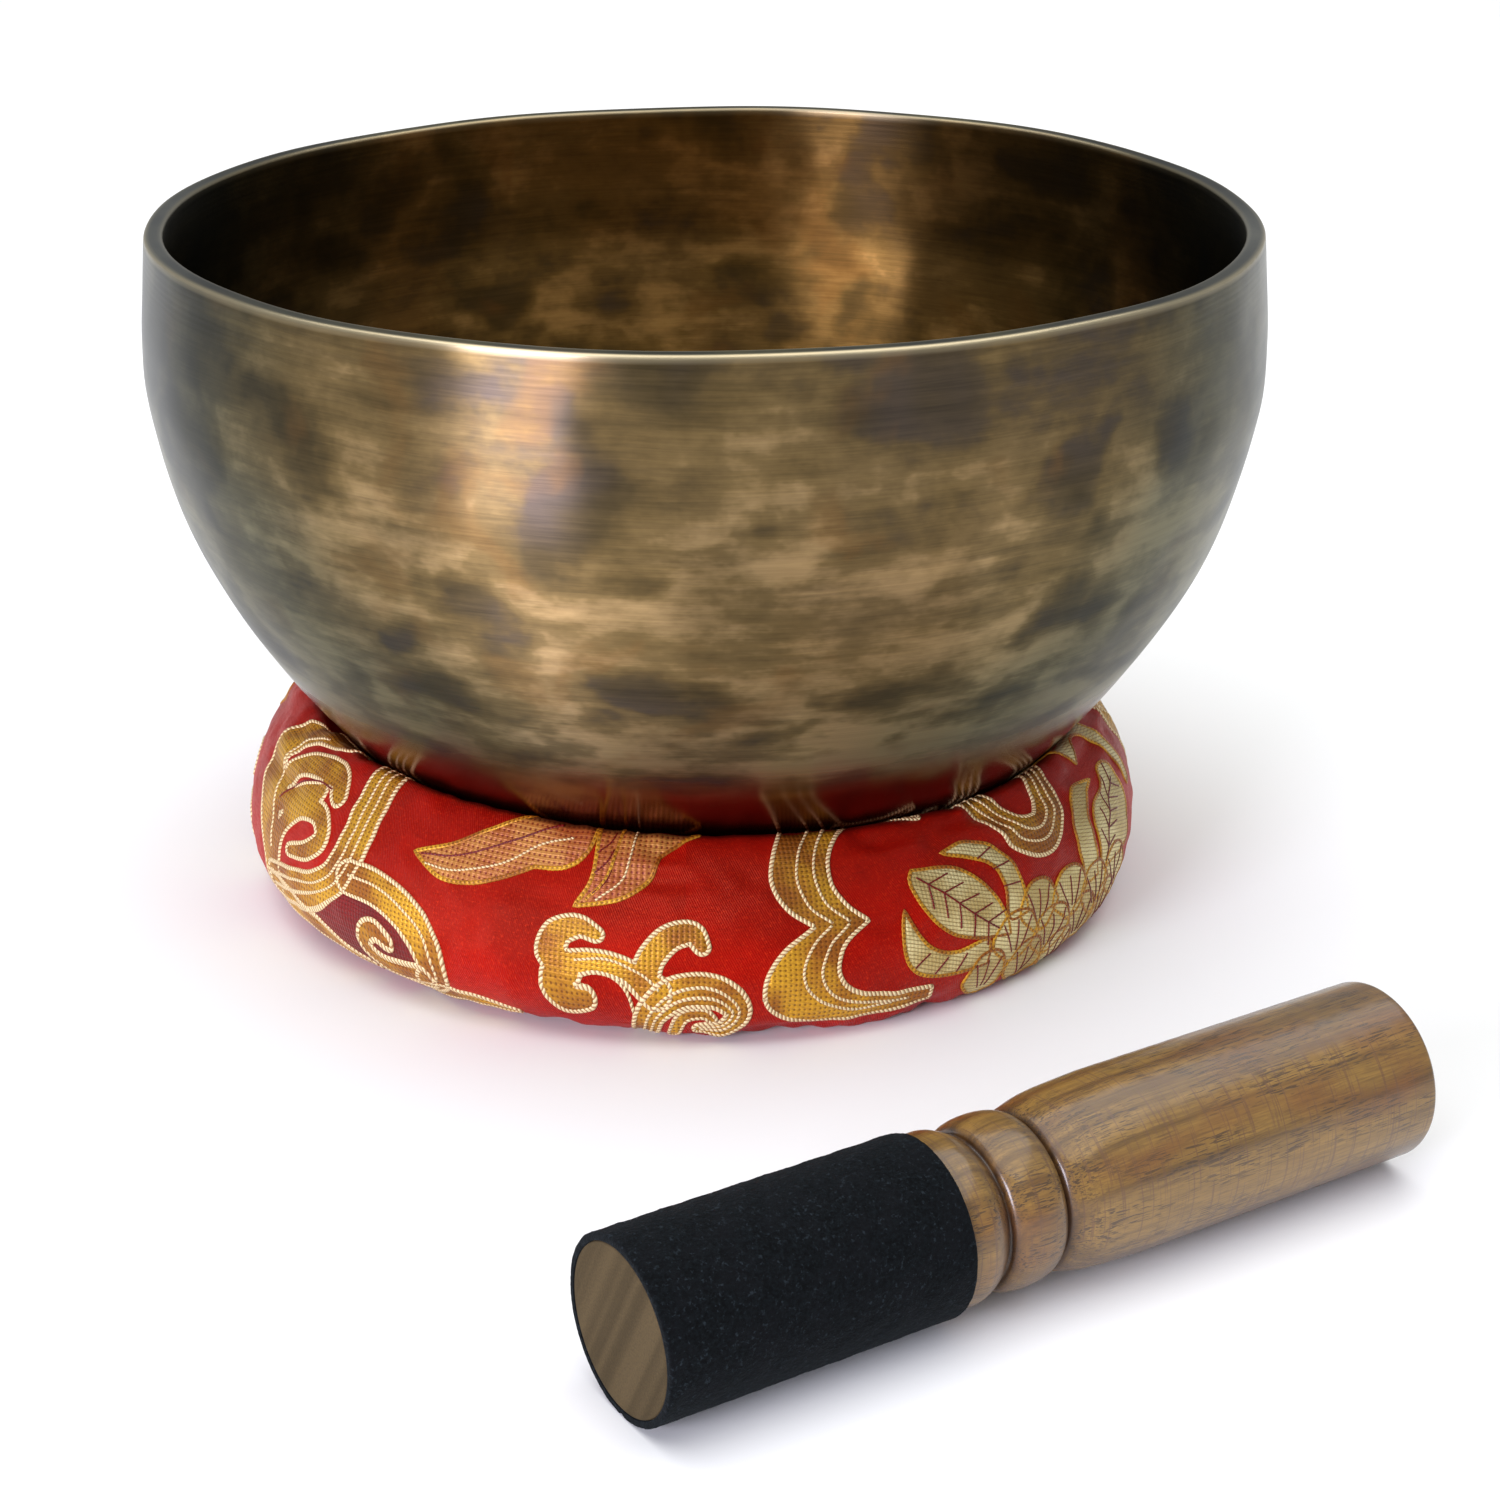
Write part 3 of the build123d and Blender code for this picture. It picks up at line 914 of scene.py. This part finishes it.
class Embroidery:
    """Gathers the raised pieces of one colour and makes them one mesh."""

    def __init__(self, surface):
        self.surface = surface
        self.points, self.faces, self.places, self.count = [], [], [], 0

    def take(self, points, faces, places):
        self.points.append(points)
        self.faces.extend([k + self.count for k in face] for face in faces)
        self.places.append(places)
        self.count += len(points)

    def fill(self, vertices, triangles, lift):
        """A thin closed patch: top lifted off the cloth, underside in it."""
        count = len(vertices)
        sheets = [self.surface.at(vertices, height) for height in (lift, PATCH_DEPTH)]
        under = [[k + count for k in reversed(face)] for face in triangles]
        sides = [(b, a, a + count, b + count) for a, b in open_edges(triangles)]
        self.take(np.vstack(sheets), [*triangles, *under, *sides], np.vstack([vertices, vertices]))

    def cord(self, line, closed, width=CORD_WIDTH, lift=CORD_LIFT):
        """A raised thread of short stitches along a line."""
        line = np.vstack([line, line[:1]]) if closed else line
        count = max(6, round(arc_length(line)[-1] / CORD_STEP))
        line = evenly(line, count + 1)
        if closed:
            line = line[:-1]
            along = np.roll(line, -1, 0) - np.roll(line, 1, 0)
        else:
            along = np.gradient(line, axis=0)
        _, left = unit_and_left(along)
        half = width / 2 * (1 + CORD_WAVE * (-1.0) ** np.arange(len(line)))[:, None]
        shares = np.array([-1, -CORD_SHOULDER, CORD_SHOULDER, 1])
        heights = (CORD_DEPTH, lift, lift, CORD_DEPTH)
        rows = [self.surface.at(line + left * half * share, up) for share, up in zip(shares, heights)]
        faces = grid_faces(len(line), 4, wrap_n=closed)[0].tolist()
        if not closed:
            last = 4 * (len(line) - 1)
            faces += [(0, 1, 2, 3), (last + 3, last + 2, last + 1, last)]
        s = np.repeat(np.arange(len(line)) * CORD_STEP, 4)
        t = np.tile(shares * width / 2, len(line))
        self.take(np.stack(rows, axis=1).reshape(-1, 3), faces, np.stack([s, t], axis=1))

    def finish(self, name, material, slot, *nodes):
        """The mesh, with each point's place on the strip as an attribute."""
        piece = add_object(name, np.vstack(self.points), self.faces, material)
        places = np.vstack(self.places)
        set_attribute(piece, "strip", np.column_stack([places, np.zeros(len(places))]))
        settle(piece, "cushion", slot, *nodes)


class Weaver:
    """Draws motifs on the cover, each shape moved to its motif's place."""

    def __init__(self, surface):
        self.work = {kind: Embroidery(surface) for kind in ("gold", "rose", "pale", "crimson", "cream")}
        self.shift = (0.0, 0.0)

    def patch(self, kind, *shapes, edge="cream", layer=0, width=CORD_WIDTH):
        """A filled motif with a cord round it."""
        vertices, triangles = filled([shape + self.shift for shape in shapes])
        self.work[kind].fill(vertices, triangles, FILL_LIFT + LAYER_LIFT * layer)
        if edge:
            for loop in border_loops(triangles):
                self.work[edge].cord(vertices[loop], True, width, CORD_LIFT + LAYER_LIFT * layer)

    def line(self, kind, line, width, layer=0):
        self.work[kind].cord(line + self.shift, False, width, CORD_LIFT + LINE_LIFT + LAYER_LIFT * layer)

    def curve(self, kind, points, width, layer=0):
        """A smooth line through points."""
        self.line(kind, smooth_line(points), width, layer)

    def striped(self, points, widths, shares, layer=0):
        """A gold band with cream lines inside it, at shares of its half width."""
        self.patch("gold", band(points, widths), layer=layer)
        centre, _, left, half = ribbon(points, widths)
        for share in shares:
            self.line("cream", centre + left * half * share, STRIPE_WIDTH, layer)

    def petal(self, *strokes, layer=0, width=1.0):
        self.patch("pale", outline(*strokes), edge="gold", layer=layer, width=width)

    def veins(self, points):
        """A spine and side veins over a petal."""
        spine = smooth_line(points)
        self.line("crimson", spine, SPINE_WIDTH)
        along, left = unit_and_left(np.gradient(spine, axis=0))
        reach = np.linspace(0, VEIN_LENGTH, 5)[:, None]
        for k in range(3, len(spine) - 2, VEIN_SPACING):
            for side in (-1, 1):
                way = along[k] * VEIN_SLANT + side * left[k]
                self.line("crimson", spine[k] + way / np.linalg.norm(way) * reach, RIB_WIDTH)

    def ribs(self, points, width):
        """Three short dark ribs across a band."""
        line = evenly(smooth_line(points), 5)[1:-1]
        along, left = unit_and_left(np.gradient(line, axis=0))
        for spot, across in zip(line, left * width / 2 + along):
            self.line("crimson", np.linspace(spot - across, spot + across, 5), RIB_WIDTH)


# Motifs

def leaf_pair(w):
    """Two serrated leaves that hang from a stem under the bowl."""
    big = outline(
        [(-50, 37.6), (-44, 41.4), (-36, 46), (-30, 50)], [(-19, 50)],
        [(-20, 42), (-24.4, 37.6), (-31, 36.6)], [(-37, 33.4), (-44, 30.8), (-51, 30.4), (-58.5, 33.8)])
    small = outline(
        [(-18.6, 37), (-19, 50)], [(-3, 50), (3, 47)], [(-2, 44), (-5.4, 41.6)],
        [(-7.4, 36.6), (-12.6, 32.6), (-21.6, 30.2)])
    w.patch("rose", big, edge="gold")
    w.curve("crimson", [(-56.6, 33.8), (-48, 35.6), (-38, 40.4), (-27, 46)], 0.55)
    w.curve("cream", [(-55, 32.2), (-48, 32.4), (-38, 36), (-31, 41), (-24, 43.5)], 0.6)
    w.patch("rose", small, edge="gold")
    w.curve("gold", [(-19.6, 31.6), (-15.6, 37), (-13.4, 48)], 0.9)
    w.curve("cream", [(-17.6, 31.8), (-12.4, 37), (-10.6, 48)], 0.6)
    for v in (35, 39, 43):
        w.curve("crimson", [(-18.4, v - 2), (-16, v + 0.4), (-15, v + 3)], RIB_WIDTH)


def cloud(w):
    """A small cloud head with a curl."""
    w.patch(
        "gold",
        band([(-17, 25.2), (-20.4, 26.4), (-24.4, 24.6), (-25.4, 20.6), (-22.6, 17.8)],
             [2.8, 4.2, 5.4, 5.8, 6.4]),
        band([(-23.4, 18.2), (-25, 15), (-22.6, 12.9), (-19, 13.2)], [5.4, 5.2, 5.2, 3.8]),
        band([(-23.4, 18.4), (-17, 19.8), (-11, 18.6), (-5.5, 15)], [5.4, 4.4, 4.6, 5.6]),
        band([(-7.6, 17.4), (-6.4, 21.6), (-3, 25.6), (1.2, 26.6), (3, 24)], [5.0, 4.8, 4.8, 4.4, 2.8]))
    w.curve("cream", [(-21, 19.6), (-15, 20.6), (-9.5, 18.8), (-5, 15.4)], STRIPE_WIDTH)
    w.curve("cream", [(-20, 17), (-15, 17.4), (-11, 14.8), (-9.6, 10)], STRIPE_WIDTH)
    curl = [(-8.6, 5), (-6.4, 11.6), (-0.6, 15.4), (6, 15.2), (9.8, 11.6), (7.4, 8), (2.4, 7.6)]
    w.striped(curl, [4.8, 5.2, 5.6, 5.8, 5.0, 3.6, 2.2], (0.1, -0.45), layer=1)
    tongue = [(-2.6, 6), (-0.8, 10.4), (3.2, 11.4), (5, 10)]
    w.patch("gold", band(tongue, [2.0, 2.2, 2.0, 1.4]), layer=1, width=0.9)


def wave(w):
    """A tall scalloped band with two bays."""
    w.patch("gold", outline(
        [(49, 7.8)], [(36, 7), (22, 8.4), (15.6, 12), (15, 17), (18.4, 22.6), (24.6, 27)],
        [(19.4, 31), (17, 36.4), (18.4, 42.6), (22, 50)], [(38, 50)],
        [(31, 43), (28.8, 36.6), (31, 31), (35.4, 27)],
        [(30.6, 23.4), (28.8, 18), (31.4, 13.8), (38, 11.8), (49, 10.8)]))
    upper = [(32.6, 49.5), (27.6, 43), (25.8, 36.6), (27.6, 31), (31.6, 27.4)]
    lower = [(31.4, 27), (27.4, 23), (25.6, 17.4), (28.4, 12.8)]
    for shift in (0.0, 3.6):
        w.curve("cream", np.subtract(upper, (shift, 0)), STRIPE_WIDTH)
        tail = [(36, 10.4 - shift / 4), (44, 9.4)]
        w.curve("cream", np.subtract([*lower, *tail], (shift, 0)), STRIPE_WIDTH)


def great_scroll(w):
    """A cloud scroll that curls inwards, held by a striped band."""
    w.patch(
        "gold",
        band([(-104, 15), (-108, 25), (-114, 32.6), (-114.4, 40), (-107, 46), (-94, 49)],
             [8, 10, 10, 9, 7, 6]),
        band([(-110, 28), (-107, 34), (-102, 38.6), (-95.4, 40.6), (-88, 40.6), (-84.8, 37.4)],
             [7, 5.4, 4.8, 5.0, 5.6, 4.0]),
        band([(-103, 18), (-100.6, 26), (-95, 31.4), (-88, 32.4), (-84.6, 28.6), (-88.6, 24.6), (-95, 22.6)],
             [6.0, 5.0, 4.4, 4.4, 4.2, 3.8, 2.4]),
        band([(-104, 30), (-97, 34), (-91, 36.4)], [5.0, 4.4, 4.0]))
    w.curve("cream", [(-104, 20), (-107.6, 29), (-111.4, 36), (-109, 42), (-102, 45.6)], STRIPE_WIDTH)
    w.curve("crimson", [(-105.4, 30), (-101, 34.6), (-94, 37.8), (-88, 38)], 0.6)
    holder = [(-74.5, 54), (-74.4, 38), (-74.6, 30), (-77.4, 23), (-83.4, 18.6), (-91, 16.6), (-104, 14.6)]
    w.striped(holder, [8.6, 8.6, 8.2, 7.6, 6.4, 5.6, 5.0], (0.3, -0.3), layer=1)


def small_scroll(w):
    """A striped arch that ends in a curl over a dark red ground."""
    ground = outline(
        [(-80, 10.4), (-66, 9.6), (-52, 9.8)], [(-52, 16), (-58, 20), (-66, 21.4), (-74, 21)],
        [(-80, 16.8), (-89, 13)])
    w.patch("crimson", ground, edge=None)
    arch = [(-73.4, 24), (-66, 24), (-59, 22), (-53.4, 17.8), (-51.4, 12.6), (-54.6, 10)]
    w.striped(arch, [6.8, 6.8, 7.0, 7.2, 6.0, 4.6], (0.15,), layer=1)
    curl = [(-54.6, 11), (-60, 10.8), (-66, 11.4), (-69, 14), (-65.6, 16.2), (-61.6, 15)]
    w.striped(curl, [4.4, 3.8, 3.4, 3.2, 2.8, 1.8], (), layer=2)
    w.patch("gold", band([(-104, 13.4), (-92, 12.6), (-82, 11), (-72, 8.6)], [4.4, 4.4, 4, 3]), layer=1)
    tail = [(-60, 7.6), (-52, 8.6), (-44, 8.8), (-35, 7.6)]
    w.patch("gold", band(tail, [3.6, 3.4, 2.6, 1.2]), layer=1, width=0.9)


# Middle, height and half width of the lotus's small petals
SMALL_PETALS = [
    (76, 20.4, 6.0), (86.6, 19.4, 6.6), (97, 16.4, 6.4), (108, 16, 6.6), (69.4, 16, 6.4), (80.4, 13.4, 6.4),
    (91.6, 11.6, 6.4), (102.6, 10.4, 6.4), (62.4, 9.6, 5.4), (73.6, 8.8, 5.6), (84.6, 7.2, 5.6),
]


def small_petal(w, u, v, wide):
    top = [(-wide, -1), (-wide * 0.6, 3.8), (0, 5), (wide * 0.6, 3.8), (wide, -1)]
    w.petal(np.add(top, (u, v)), [(u + 2, v - 5.4), (u - 2, v - 5.4)], layer=1, width=0.9)
    for lean in (-0.6, 0.0, 0.6):
        fold = np.linspace((u + wide * lean * 0.3, v - 3.4), (u + wide * lean, v + 3), 6)
        w.line("crimson", fold, 0.4, 1)


def lotus(w):
    """An open lotus: two veined petals, three crescents round them and a bed of small ones."""
    w.petal([(42.2, 21), (44, 15.6), (50, 12.8), (62, 12)],
            [(61.6, 17.2), (54, 16.6), (48.6, 18.6), (45.4, 22.4), (43, 27.6)])
    w.ribs([(44, 21), (47, 16), (54, 14.4), (60, 14.4)], 3.4)
    w.petal([(60.4, 37.8), (66.4, 35.4), (71, 29.6), (72.2, 20)],
            [(67.2, 20), (67.2, 27.6), (64.2, 32.6), (54.4, 37)])
    w.ribs([(60, 36.6), (66, 33), (69, 27), (69.6, 22)], 4.0)
    w.petal([(45.4, 32.4), (48, 26), (53, 20.8), (60, 18), (67.4, 16.6)],
            [(66, 22), (62, 28.6), (55.6, 33.6), (46.4, 35)])
    w.veins([(47, 33.4), (53, 28.6), (59, 23), (64.6, 18.6)])
    w.petal([(92.2, 27), (95, 33.6), (100.6, 37.4), (108.8, 36)], [(103.4, 34), (99, 28.6), (98.6, 18)],
            [(92.6, 18)])
    w.petal([(100.6, 25.4), (103.4, 31), (111, 32.6)], [(116, 36), (121.6, 34.4), (123, 27), (119, 18)],
            [(101, 18)])
    w.veins([(103, 19), (107, 25), (113, 29.6), (119, 32)])
    for u, v, wide in SMALL_PETALS:
        small_petal(w, u, v, wide)


def garland(w):
    """A looped band along the top edge of the flower."""
    loop = [(69, 52), (72, 43.4), (76, 35.6), (82.6, 33.4), (88.4, 37), (91.6, 43.6), (96, 50)]
    w.striped(loop, [5.6, 6.4, 7.6, 8.6, 7.6, 6.6, 5.0], (0.3, -0.3))
    w.petal([(104, 46.8), (111, 40)], [(116, 44.2), (122, 42.6), (126, 36), (129, 26)],
            [(132.6, 27), (130.6, 37), (126, 46), (118, 50), (98, 51)], [(98, 47)])
    w.patch("gold", band([(35, 49.8), (45, 49.2), (54, 46.4)], [3.4, 2.8, 1.0]))


SCROLLS = [great_scroll, small_scroll]
LEAF_AND_CLOUD = [leaf_pair, cloud]
FLOWER = [lotus, garland]
# Where each group of motifs lies on the strip: shift along it, shift up the tube
PLACES = [
    (SCROLLS, 0, 0), (LEAF_AND_CLOUD, 0, 0), ([wave, *FLOWER], 0, 0),
    (SCROLLS, 262, 0), (FLOWER, 164, 0), (FLOWER, -328, 0), (LEAF_AND_CLOUD, -142, 0),
    (LEAF_AND_CLOUD, 70, 46), (SCROLLS, 30, 46), ([wave], 60, 46), (FLOWER, 30, 48),
    (LEAF_AND_CLOUD, 250, 46), (FLOWER, -250, 48), (SCROLLS, 330, 46), (LEAF_AND_CLOUD, -200, 46),
]


def make_motifs(surface):
    weaver = Weaver(surface)
    for group, u, v in PLACES:
        weaver.shift = (u, v)
        for motif in group:
            motif(weaver)
    paints = {
        "gold": woven("gold_weave", rgb(208, 156, 40), rgb(154, 92, 26), rgb(86, 38, 6),
                      pitch=1.0, metal=0.3, rows=0.25),
        "rose": woven("rose_weave", rgb(200, 138, 70), rgb(172, 92, 44), rgb(120, 30, 14),
                      pitch=1.15, metal=0.2),
        "pale": woven("pale_weave", rgb(224, 210, 158), rgb(188, 166, 108), rgb(132, 104, 54),
                      pitch=0.8, metal=0.15, rows=0.9),
        "crimson": woven("crimson_weave", rgb(118, 6, 6), rgb(100, 5, 6), rgb(84, 4, 4),
                         pitch=0.8, metal=0.0),
        "cream": cord_thread("cream_cord", rgb(236, 216, 168), rgb(150, 92, 48)),
    }
    for kind, paint in paints.items():
        weaver.work[kind].finish("motif_" + kind, paint, "brocade")


def make_stitches(surface, material):
    """Hand stitches over the closing seam in the hole, and over the strip's joined ends at the back."""
    section = tube_outline()
    seam_v = arc_length(section)[np.argmin(section[:, 0])]
    turn = surface.lengths[0]
    hole = [((k + 0.5) * turn / HOLE_STITCHES, seam_v) for k in range(HOLE_STITCHES)]
    joint = [(turn / 2, (k + 1) * JOINT_PITCH) for k in range(JOINT_STITCHES)]
    hole_slant = STITCH_SLANT * CUSHION_RADIUS / HOLE_RADIUS  # u is measured at the cushion's outside
    for name, node, places, half in (
            ("hole_stitches", "hole_seam_stitches", hole, (hole_slant, STITCH_REACH)),
            ("joint_stitches", "end_joint_stitches", joint, (STITCH_REACH, STITCH_SLANT))):
        thread = Embroidery(surface)
        for place in places:
            ends = np.array([np.subtract(place, half), np.add(place, half)])
            thread.cord(evenly(ends, STITCH_POINTS), False, STITCH_WIDTH, STITCH_LIFT)
        thread.finish(name, material, "thread", node)


def make_cushion():
    grid = under_bowl(finer(finer(cover_shape(), 0), 1))
    surface = Surface(grid)
    make_cover(surface, satin())
    make_filling(grid[::FINER, ::FINER], plain_yarn("filling", rgb(226, 218, 200), rgb(180, 170, 150)))
    make_motifs(surface)
    make_stitches(surface, plain_yarn("thread", rgb(150, 12, 14), rgb(90, 6, 8)))


# Mallet: built lying along its own axis, s from the striking end, then put where the CAD piece lies

def mallet_place():
    """The striking end's centre, unit vectors along the mallet, sideways and up, and its length."""
    wood = node_points("mallet_wood")
    middle = wood.mean(0)
    axis = np.linalg.svd(wood - middle, full_matrices=False)[2][0]
    suede_low, suede_high = box_mm("suede_wrap")
    if axis @ ((suede_low + suede_high) / 2 - middle) > 0:
        axis = -axis
    for _ in range(3):
        along = wood @ axis
        tip = wood[along < along.min() + END_REACH]
        end = wood[along > along.max() - END_REACH]
        tip, end = ((part.min(0) + part.max(0)) / 2 for part in (tip, end))
        length = np.linalg.norm(end - tip)
        axis = (end - tip) / length
    side = np.cross((0, 0, 1), axis)
    side /= np.linalg.norm(side)
    return tip, axis, side, np.cross(axis, side), length


def turned_piece(name, profile, around, material, slot, node, lumps=None, closed=False):
    """A turned shape from (s, radius) points, laid on the table. lumps(s, angle) is added to the radius."""
    tip, axis, side, up, _ = mallet_place()
    angle = turn_angles(around)[:, None]
    s, r = profile.T
    radius = np.broadcast_to(r, (around, len(s)))
    if lumps is not None:
        radius = radius + lumps(s[None, :], angle) * (r > 0.5)  # but not on the axis
    y, z = radius * np.cos(angle), radius * np.sin(angle)
    points = tip + s[None, :, None] * axis + y[..., None] * side + z[..., None] * up
    faces, _ = grid_faces(around, len(s), wrap_m=closed)
    piece = add_object(name, points, faces, material)
    local = np.stack([np.broadcast_to(s, y.shape), y, z], axis=2)
    set_attribute(piece, "local", local.reshape(-1, 3))
    merge_poles(piece)
    settle(piece, "mallet", slot, node)


def wood_profile(length):
    """Half section of the turned wood, from the centre of one end to the centre of the other."""
    step = 0.5
    bead = smooth_line([
        (SUEDE_LENGTH - 0.4, BEAD_RADIUS - 0.5), (SUEDE_LENGTH + 1.0, BEAD_RADIUS - 0.1),
        (SUEDE_LENGTH + 4.2, BEAD_RADIUS), (SUEDE_LENGTH + 7.0, BEAD_RADIUS - 1.2), (FIRST_NECK, NECK_RADIUS),
    ], step)
    middle, reach = (FIRST_NECK + SECOND_NECK) / 2, (SECOND_NECK - FIRST_NECK) / 2
    turn = np.linspace(0, np.pi, 26)
    height = BEAD_RADIUS + 0.1 - NECK_RADIUS
    second = np.stack([middle - reach * np.cos(turn), NECK_RADIUS + height * np.sin(turn) ** 0.6], axis=1)
    shoulder = smooth_line([
        (SECOND_NECK, NECK_RADIUS), (SECOND_NECK + 1.1, NECK_RADIUS + 1.6),
        (SECOND_NECK + 3.4, GRIP_RADIUS - 1.4), (SECOND_NECK + 8.0, GRIP_RADIUS - 0.55),
        (GRIP_START, GRIP_RADIUS),
    ], step)
    corner = np.radians(np.linspace(90, 0, 6))
    end, shrunk = length - END_ROUNDING, GRIP_RADIUS - END_ROUNDING
    rounding = np.stack([end + END_ROUNDING * np.cos(corner), shrunk + END_ROUNDING * np.sin(corner)], 1)
    return np.vstack([
        np.linspace((0, 0), (0, CORE_RADIUS - 0.3), 18),
        [(0.1, CORE_RADIUS - 0.08), (0.4, CORE_RADIUS)],
        np.linspace((2, CORE_RADIUS), (SUEDE_LENGTH - 0.5, CORE_RADIUS), 20),
        bead, second[1:], shoulder[1:],
        np.linspace((GRIP_START + 2, GRIP_RADIUS), (end - 1, GRIP_RADIUS), 60),
        rounding,
        np.linspace((length, shrunk - 0.6), (length, 0), 18),
    ])


def tool_marks(s, angle):
    """The faint ridges of turning, and a slight lack of roundness."""
    ridges = np.sin(s * 2 * np.pi / RIDGE_PITCH + 0.8 * np.sin(s * 0.31)) * (s > SUEDE_LENGTH)
    return RIDGE_HEIGHT * ridges + OUT_OF_ROUND * np.sin(2 * angle + s * 0.02)


def nap(s, angle):
    """The uneven face of the hide, and its butt seam along the underside."""
    rng = np.random.default_rng(SUEDE_SEED)
    lumps = np.zeros(np.broadcast_shapes(s.shape, angle.shape))
    for _ in range(NAP_WAVES):
        wave_s, wave_a = rng.uniform(0.15, 2.2), rng.integers(1, 34)
        size = rng.uniform(0.2, 1.0) / (1 + wave_s + wave_a / 12)
        phase = rng.uniform(0, 2 * np.pi)
        lumps += size * np.sin(wave_s * s + wave_a * angle + phase)
    from_seam = (np.mod(angle - np.pi / 2, 2 * np.pi) - np.pi) * WRAP_RADIUS
    seam = np.exp(-((from_seam / SEAM_WIDTH) ** 2))
    return NAP_HEIGHT * lumps + rng.normal(0, NAP_FUZZ, lumps.shape) - SEAM_DEPTH * seam


def make_mallet():
    wood = wood_profile(mallet_place()[-1])
    turned_piece("mallet_turned_wood", wood, WOOD_AROUND, lacquered_wood(), "lacquered_wood", "mallet_wood",
                 tool_marks)
    outer = WRAP_RADIUS - SMALL_GAP
    inner = CORE_RADIUS + GLUE_THICKNESS
    edge = SUEDE_EDGE
    hide = np.vstack([
        np.linspace((0.0, inner), (0.0, outer - edge), 5),
        [(0.12, outer - 0.1), (edge, outer)],
        np.linspace((edge + 0.4, outer), (SUEDE_LENGTH - edge - 0.4, outer), 120),
        [(SUEDE_LENGTH - edge, outer), (SUEDE_LENGTH - 0.12, outer - 0.1)],
        np.linspace((SUEDE_LENGTH, outer - edge), (SUEDE_LENGTH, inner), 4),
        np.linspace((SUEDE_LENGTH - 2, inner), (2, inner), 12),
    ])
    face = hide[:, 1] > outer - 0.5
    turned_piece("suede_sleeve", hide, SUEDE_AROUND, suede(), "suede", "suede_wrap",
                 lambda s, angle: nap(s, angle) * face, closed=True)
    under, over, last = CORE_RADIUS + SMALL_GAP, inner - SMALL_GAP, SUEDE_LENGTH - 1
    film = np.array([(1.0, under), (last, under), (last, over), (1.0, over)])
    glue = plain_yarn("glue", rgb(190, 170, 120), rgb(150, 130, 90))
    turned_piece("glue_film", film, GLUE_AROUND, glue, "glue", "suede_glue", closed=True)


# Stage, light and camera: places in metres

def add_light(name, place, target, size, power, colour=(1, 1, 1)):
    data = bpy.data.lights.new(name, "AREA")
    data.shape = "RECTANGLE"
    data.size, data.size_y = size
    data.energy = power
    data.color = colour
    light = link(name, data)
    light.location = place
    light.rotation_euler = (Vector(target) - Vector(place)).to_track_quat("-Z", "Y").to_euler()


def add_stage():
    paint = Paint("floor").finish(Base_Color=(0.9, 0.9, 0.9, 1.0), Roughness=0.9, Specular_IOR_Level=0.1)
    add_object("floor", square(FLOOR_HALF), [(0, 1, 2, 3)], paint)


def add_lights():
    world = bpy.data.worlds.new("studio")
    bpy.context.scene.world = world
    world.use_nodes = True
    background = next(n for n in world.node_tree.nodes if n.type == "BACKGROUND")
    background.inputs["Color"].default_value = (0.93, 0.97, 1.0, 1.0)
    background.inputs["Strength"].default_value = 0.42
    add_light("overhead", place=(0.0, 0.1, 2.0), target=(0, 0, 0), size=(3.2, 3.2), power=64.0)
    add_light("softbox", place=(-0.79, -1.15, 0.36), target=(0, 0, 0.12), size=(0.54, 0.5), power=16.6,
              colour=(1.0, 0.98, 1.18))


def add_camera():
    data = bpy.data.cameras.new("camera")
    data.lens = LENS
    data.sensor_width = SENSOR_WIDTH
    camera = link("camera", data)
    camera.location = CAMERA_PLACE
    camera.rotation_euler = (math.pi / 2 - CAMERA_TILT, 0, 0)
    bpy.context.scene.camera = camera
    bpy.context.scene.view_settings.view_transform = "Standard"


make_bowl(bronze())
make_cushion()
make_mallet()
add_stage()
add_lights()
add_camera()
